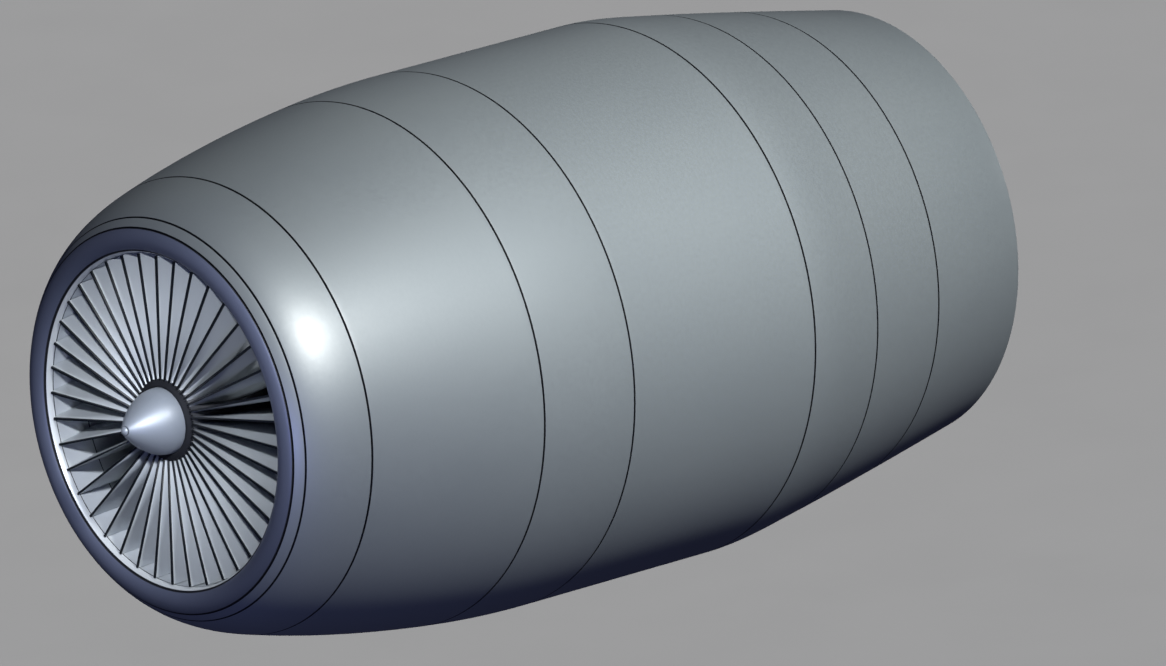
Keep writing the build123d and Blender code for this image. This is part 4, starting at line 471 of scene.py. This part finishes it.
def beside_seam(name, side):
    """Station and radius where a skin ends, on a seam's front (-1) or rear (+1) side, along its slope."""
    station, radius, slope = SEAMS[name]
    return station + side * SEAM_HALF, radius + side * SEAM_HALF * math.tan(math.radians(slope))


print("seams", len(SEAMS))

# %% [markdown]
# Three kinds of line make up every outline: a cubic that leaves and arrives at a given slope, a round arc,
# and a small parabola that takes the edge off a corner.

# %% Lines of an outline
EDGE_ROUND = 0.0022


def curve_between(start, end, start_slope, end_slope, count=40):
    """Cubic through (station, radius) points. It leaves and arrives at slopes in degrees, and both end speeds
    equal the distance between the points."""
    t = np.linspace(0.0, 1.0, count)[:, None]
    start, end = np.array(start), np.array(end)
    reach = np.linalg.norm(end - start)
    leave = reach * np.array([math.cos(math.radians(start_slope)), math.sin(math.radians(start_slope))])
    arrive = reach * np.array([math.cos(math.radians(end_slope)), math.sin(math.radians(end_slope))])
    return (
        (2 * t**3 - 3 * t**2 + 1) * start + (t**3 - 2 * t**2 + t) * leave
        + (3 * t**2 - 2 * t**3) * end + (t**3 - t**2) * arrive
    )


def arc_through(start, middle, end, count=40):
    """Round arc: the centre is where the lines that halve its two chords squarely meet."""
    start, middle, end = (np.array(point, dtype=float) for point in (start, middle, end))
    chords = 2 * np.array([middle - start, end - start])
    centre = np.linalg.solve(chords, [middle @ middle - start @ start, end @ end - start @ start])
    angles = [math.atan2(*(point - centre)[::-1]) for point in (start, middle, end)]
    swept = np.unwrap(angles)
    sweep = np.linspace(swept[0], swept[2], count)[:, None]
    return centre + np.linalg.norm(start - centre) * np.hstack([np.cos(sweep), np.sin(sweep)])


def rounded(before, corner, after, reach=EDGE_ROUND, count=7):
    """Parabola in place of a corner, from a point `reach` before it to a point `reach` after it."""
    before, corner, after = (np.array(point, dtype=float) for point in (before, corner, after))
    first = corner + reach * (before - corner) / np.linalg.norm(before - corner)
    last = corner + reach * (after - corner) / np.linalg.norm(after - corner)
    t = np.linspace(0.0, 1.0, count)[:, None]
    return (1 - t)**2 * first + 2 * t * (1 - t) * corner + t**2 * last


# %% [markdown]
# Carrying an outline round the shaft gives rows of points, one row for each point of the outline. Four
# neighbours make a face. Points that fall together on the shaft line are merged, so a pole is closed.

# %% Turning an outline
AROUND = 216
MERGE_DISTANCE = 1e-6
SEAL_HALF = 0.0042
OUTER_SEAMS = np.array([
    (station, SEAL_HALF * math.cos(math.radians(slope)))
    for name, (station, _, slope) in SEAMS.items() if name != "edge"
])
SHARP_CORNER = 32.0


def turned_mesh(name, line):
    """Surface of revolution: a point (r sin a, station - origin, r cos a) per outline point and angle a."""
    angle = np.linspace(0.0, 2 * np.pi, AROUND, endpoint=False)
    station, radius = line[:, :1], line[:, 1:]
    points = np.stack(
        [radius * np.sin(angle), station - ORIGIN_STATION + 0 * angle, radius * np.cos(angle)], axis=-1
    ).reshape(-1, 3)
    grids = np.meshgrid(np.arange(len(line)), np.arange(AROUND), indexing="ij")
    row, column = (grid.ravel() for grid in grids)
    row_after, column_after = (row + 1) % len(line), (column + 1) % AROUND
    quads = np.column_stack([
        row * AROUND + column,
        row * AROUND + column_after,
        row_after * AROUND + column_after,
        row_after * AROUND + column,
    ])
    mesh = bpy.data.meshes.new(name)
    mesh.from_pydata(points.tolist(), [], quads.tolist())
    work = bmesh.new()
    work.from_mesh(mesh)
    bmesh.ops.remove_doubles(work, verts=work.verts, dist=MERGE_DISTANCE)
    bmesh.ops.recalc_face_normals(work, faces=work.faces)
    work.to_mesh(mesh)
    work.free()
    return mesh


def seal_seams(mesh, seams):
    """Gives the second material to the faces whose middle lies near a seam. Each row of seams has its station
    and how far along the shaft the sealant reaches to either side."""
    middles = np.empty(3 * len(mesh.polygons))
    mesh.polygons.foreach_get("center", middles)
    stations = middles.reshape(-1, 3)[:, 1] + ORIGIN_STATION
    near = np.abs(stations[:, None] - seams[:, 0]) < seams[:, 1]
    mesh.materials.append(finishes["seam_sealant"])
    mesh.polygons.foreach_set("material_index", near.any(axis=1).astype(np.int32))


def stand_in(mesh, solid_name, seams=None):
    """Piece that is shown in place of a solid. It has the solid's finish and rides on the solid's body."""
    mesh.shade_smooth()
    mesh.set_sharp_from_angle(angle=math.radians(SHARP_CORNER))
    mesh.materials.clear()
    mesh.materials.append(finishes[slot_of[solid_name]])
    if seams is not None:
        seal_seams(mesh, seams)
    piece = bpy.data.objects.new("fine_" + solid_name, mesh)
    scene.collection.objects.link(piece)
    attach(piece, body_of[solid_name])
    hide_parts(solid_name)
    return piece


def turn_ring(solid_name, *lines, seams=OUTER_SEAMS):
    """Joins the lines of an outline and turns them into the piece that stands for a solid."""
    line = np.vstack([np.atleast_2d(part) for part in lines])
    return stand_in(turned_mesh("fine_" + solid_name, line), solid_name, seams)


# %% [markdown]
# ## Cowl rings
# A cowl is a skin with a flange turned in at each end. The outline goes aft along the skin, in round the rear
# flange, forward along the inside and out round the front flange.

# %% Cowl rings
COWL_SKIN = 0.012
COWL_FLANGE = 0.032
FLANGE = 0.008
INSIDE_ROWS = 14


def turn_cowl(solid_name, front, rear):
    """One cowl ring between two seams."""
    front_edge, rear_edge = beside_seam(front, 1), beside_seam(rear, -1)
    front_slope, rear_slope = SEAMS[front][2], SEAMS[rear][2]
    front_foot = (front_edge[0], SEAMS[front][1] - COWL_FLANGE)
    rear_foot = (rear_edge[0], SEAMS[rear][1] - COWL_FLANGE)
    skin = curve_between(front_edge, rear_edge, front_slope, rear_slope)
    inside = curve_between(
        (front_edge[0] + FLANGE, front_edge[1] - COWL_SKIN),
        (rear_edge[0] - FLANGE, rear_edge[1] - COWL_SKIN),
        front_slope, rear_slope, INSIDE_ROWS,
    )
    return turn_ring(
        solid_name,
        rounded(front_foot, front_edge, skin[1]), skin[1:-1], rounded(skin[-2], rear_edge, rear_foot),
        rear_foot, (rear_foot[0] - FLANGE, rear_foot[1]), inside[::-1],
        (front_foot[0] + FLANGE, front_foot[1]), front_foot,
    )


turn_cowl("inlet_cowl", "band", "inlet")
forward_piece = turn_cowl("forward_cowl", "inlet", "forward")
turn_cowl("fan_cowl_ring", "forward", "fan_ring")
centre_piece = turn_cowl("centre_cowl", "fan_ring", "centre")
turn_cowl("taper_cowl", "centre", "taper")
turn_cowl("rear_cowl", "taper", "rear")
print("cowl rings", 6)

# %% [markdown]
# The nozzle cowl ends in a thin trailing edge with a small step behind it.

# %% Nozzle cowl
EDGE_THICKNESS = 0.014
EDGE_LENGTH = 0.016
EDGE_STEP = 0.006
nozzle_front = beside_seam("rear", 1)
nozzle_foot = (nozzle_front[0], SEAMS["rear"][1] - COWL_FLANGE)
edge_station, edge_radius, edge_slope = SEAMS["edge"]
nozzle_skin = curve_between(nozzle_front, (edge_station, edge_radius), SEAMS["rear"][2], edge_slope)
step_station = edge_station - EDGE_LENGTH
step_radius = edge_radius - EDGE_THICKNESS
nozzle_inside = curve_between(
    (nozzle_front[0] + FLANGE, nozzle_front[1] - COWL_SKIN), (step_station, step_radius + EDGE_STEP),
    SEAMS["rear"][2], edge_slope, INSIDE_ROWS,
)
turn_ring(
    "nozzle_cowl", rounded(nozzle_foot, nozzle_front, nozzle_skin[1]), nozzle_skin[1:-1],
    rounded(nozzle_skin[-2], nozzle_skin[-1], (edge_station, step_radius)),
    rounded(nozzle_skin[-1], (edge_station, step_radius), (step_station, step_radius)),
    (step_station, step_radius), nozzle_inside[::-1], (nozzle_foot[0] + FLANGE, nozzle_foot[1]), nozzle_foot,
)
print("trailing edge radius", edge_radius)

# %% [markdown]
# ## Mount openings
# Two of the cowls have an opening on the hidden flank, where the mounts come through. A box is taken out of
# the ring by a Boolean modifier, and the cut mesh replaces the whole one.

# %% Mount openings
OPENING_HALF_LENGTH = 0.128
OPENING_HALF_HEIGHT = 0.138
OPENING_REACH = 1 / 6


def cut_opening(piece, station, face):
    """Takes a box out of a ring on the -X flank. The box is centred on the mount's face, which is that far
    from the shaft line, and its corners are its middle plus or minus its half sizes."""
    signs = np.array(np.meshgrid([-1, 1], [-1, 1], [-1, 1], indexing="ij")).reshape(3, -1).T
    half = np.array([face * OPENING_REACH, OPENING_HALF_LENGTH, OPENING_HALF_HEIGHT])
    corners = np.array([-face, station - ORIGIN_STATION, 0.0]) + signs * half
    sides = [(0, 1, 3, 2), (4, 6, 7, 5), (0, 4, 5, 1), (2, 3, 7, 6), (0, 2, 6, 4), (1, 5, 7, 3)]
    mesh = bpy.data.meshes.new("opening_box")
    mesh.from_pydata(corners.tolist(), [], sides)
    box = bpy.data.objects.new("opening_box", mesh)
    scene.collection.objects.link(box)
    cut = piece.modifiers.new("opening", "BOOLEAN")
    cut.object = box
    whole = piece.data
    piece.data = bpy.data.meshes.new_from_object(piece.evaluated_get(bpy.context.evaluated_depsgraph_get()))
    piece.modifiers.clear()
    bpy.data.objects.remove(box)
    bpy.data.meshes.remove(whole)


cut_opening(forward_piece, station=0.500, face=0.838)
cut_opening(centre_piece, station=1.990, face=0.955)
print("faces round the openings", len(forward_piece.data.polygons), len(centre_piece.data.polygons))

# %% [markdown]
# ## Intake rings
# The lip is a thin shell, an arc in section. Behind it come the narrow band outside, and the throat ring and
# the fan's own track inside.

# %% Intake rings
LIP_INNER = 0.615
LIP_BULGE = 0.0165
LIP_SKIN = 0.005
BAND_SKIN = 0.014
DUCT_RADIUS = 0.603
DUCT_WALL = 0.012
SHADOW_GAP = 0.002
THROAT_STATION = 0.028
TRACK_STATION = 0.171
INNER_SEAMS = np.array([(0.0, SEAL_HALF), (THROAT_STATION, SHADOW_GAP), (TRACK_STATION, SHADOW_GAP)])

lip_slope = SEAMS["lip"][2]
lip_rise = SEAM_HALF * math.tan(math.radians(lip_slope))
lip_foot = LIP_SKIN / math.sin(math.radians(lip_slope))
lip_inner, lip_outer = (-SEAM_HALF, LIP_INNER + lip_rise), beside_seam("lip", -1)
lip_middle = (LIP_INNER + SEAMS["lip"][1]) / 2
turn_ring(
    "inlet_lip",
    arc_through(lip_inner, (-LIP_BULGE, lip_middle), lip_outer),
    arc_through(
        (-SEAM_HALF, lip_outer[1] - lip_foot), (LIP_SKIN - LIP_BULGE, lip_middle),
        (-SEAM_HALF, lip_inner[1] + lip_foot), INSIDE_ROWS,
    ),
)

band_front, band_rear = beside_seam("lip", 1), beside_seam("band", -1)
band_skin = curve_between(band_front, band_rear, lip_slope, SEAMS["band"][2], INSIDE_ROWS)
band_front_foot = (band_front[0], band_front[1] - BAND_SKIN)
band_rear_foot = (band_rear[0], band_rear[1] - BAND_SKIN)
turn_ring(
    "lip_band",
    rounded(band_front_foot, band_front, band_skin[2], EDGE_ROUND / 2), band_skin[1:-1],
    rounded(band_skin[-3], band_rear, band_rear_foot, EDGE_ROUND / 2), band_rear_foot, band_front_foot,
)

throat_front = (SEAM_HALF, LIP_INNER - lip_rise)
throat = curve_between(throat_front, (THROAT_STATION - SHADOW_GAP, DUCT_RADIUS), -lip_slope, 0.0, INSIDE_ROWS)
turn_ring(
    "throat_ring",
    throat, (THROAT_STATION, DUCT_RADIUS + SHADOW_GAP), (THROAT_STATION, DUCT_RADIUS + DUCT_WALL),
    (SEAM_HALF, LIP_INNER + DUCT_WALL), seams=INNER_SEAMS,
)
turn_ring(
    "fan_track",
    (THROAT_STATION, DUCT_RADIUS + SHADOW_GAP), (THROAT_STATION + SHADOW_GAP, DUCT_RADIUS),
    (TRACK_STATION - SHADOW_GAP, DUCT_RADIUS), (TRACK_STATION, DUCT_RADIUS + SHADOW_GAP),
    (TRACK_STATION, DUCT_RADIUS + DUCT_WALL), (THROAT_STATION, DUCT_RADIUS + DUCT_WALL), seams=INNER_SEAMS,
)
print("intake rings", 4)

# %% [markdown]
# ## Curved solids that stay
# The other solids keep their shapes. Where a curved face shows, a copy with its doubled points merged is
# shown instead, shaded round between its true corners.

# %% Smooth copies
SMOOTHED = (
    "spinner", "spinner_nose_cap", "blade_retaining_ring", "fan_blades", "fan_disk", "fan_case",
    "guide_vane_ring", "core_splitter", "front_bypass_duct", "rear_bypass_duct", "exhaust_nozzle",
    "core_cowl", "core_nozzle", "tail_cone", "turbine_rear_frame", "booster_case",
)


def smooth_copy(solid_name):
    """Copy of a solid's mesh, merged, that stands for it."""
    mesh = nodes[solid_name].data.copy()
    mesh.name = "fine_" + solid_name
    work = bmesh.new()
    work.from_mesh(mesh)
    bmesh.ops.remove_doubles(work, verts=work.verts, dist=MERGE_DISTANCE)
    work.to_mesh(mesh)
    work.free()
    stand_in(mesh, solid_name, INNER_SEAMS if solid_name == "fan_case" else None)


for name in SMOOTHED:
    smooth_copy(name)
print("smooth copies", len(SMOOTHED))

# %% [markdown]
# The intake's light reaches only the fan and what stands round and behind it.

# %% Pieces of the intake
INTAKE = (
    "inlet_lip", "throat_ring", "fan_track", "fan_case", "fan_blades", "fan_disk", "blade_retaining_ring",
    "spinner", "spinner_nose_cap", "guide_vane_ring", "front_bypass_duct", "core_splitter",
)
lit_intake = bpy.data.collections.new("lit_by_intake_light")
for name in INTAKE:
    lit_intake.objects.link(bpy.data.objects["fine_" + name])
intake_light.light_linking.receiver_collection = lit_intake
print("lit by the intake light", len(INTAKE))

# %% [markdown]
# ## The floor's finish
# A matt pale sheet with a breath of unevenness.

# %% Floor finish
floor_paint = finish(
    "floor_paint", (0.415, 0.415, 0.415), (0.405, 0.405, 0.405),
    metallic=0.0, rough=0.75, marks=(3.0, 3.0, 3.0), bump=0.0,
)
floor.data.materials.append(floor_paint)
print("floor finished")
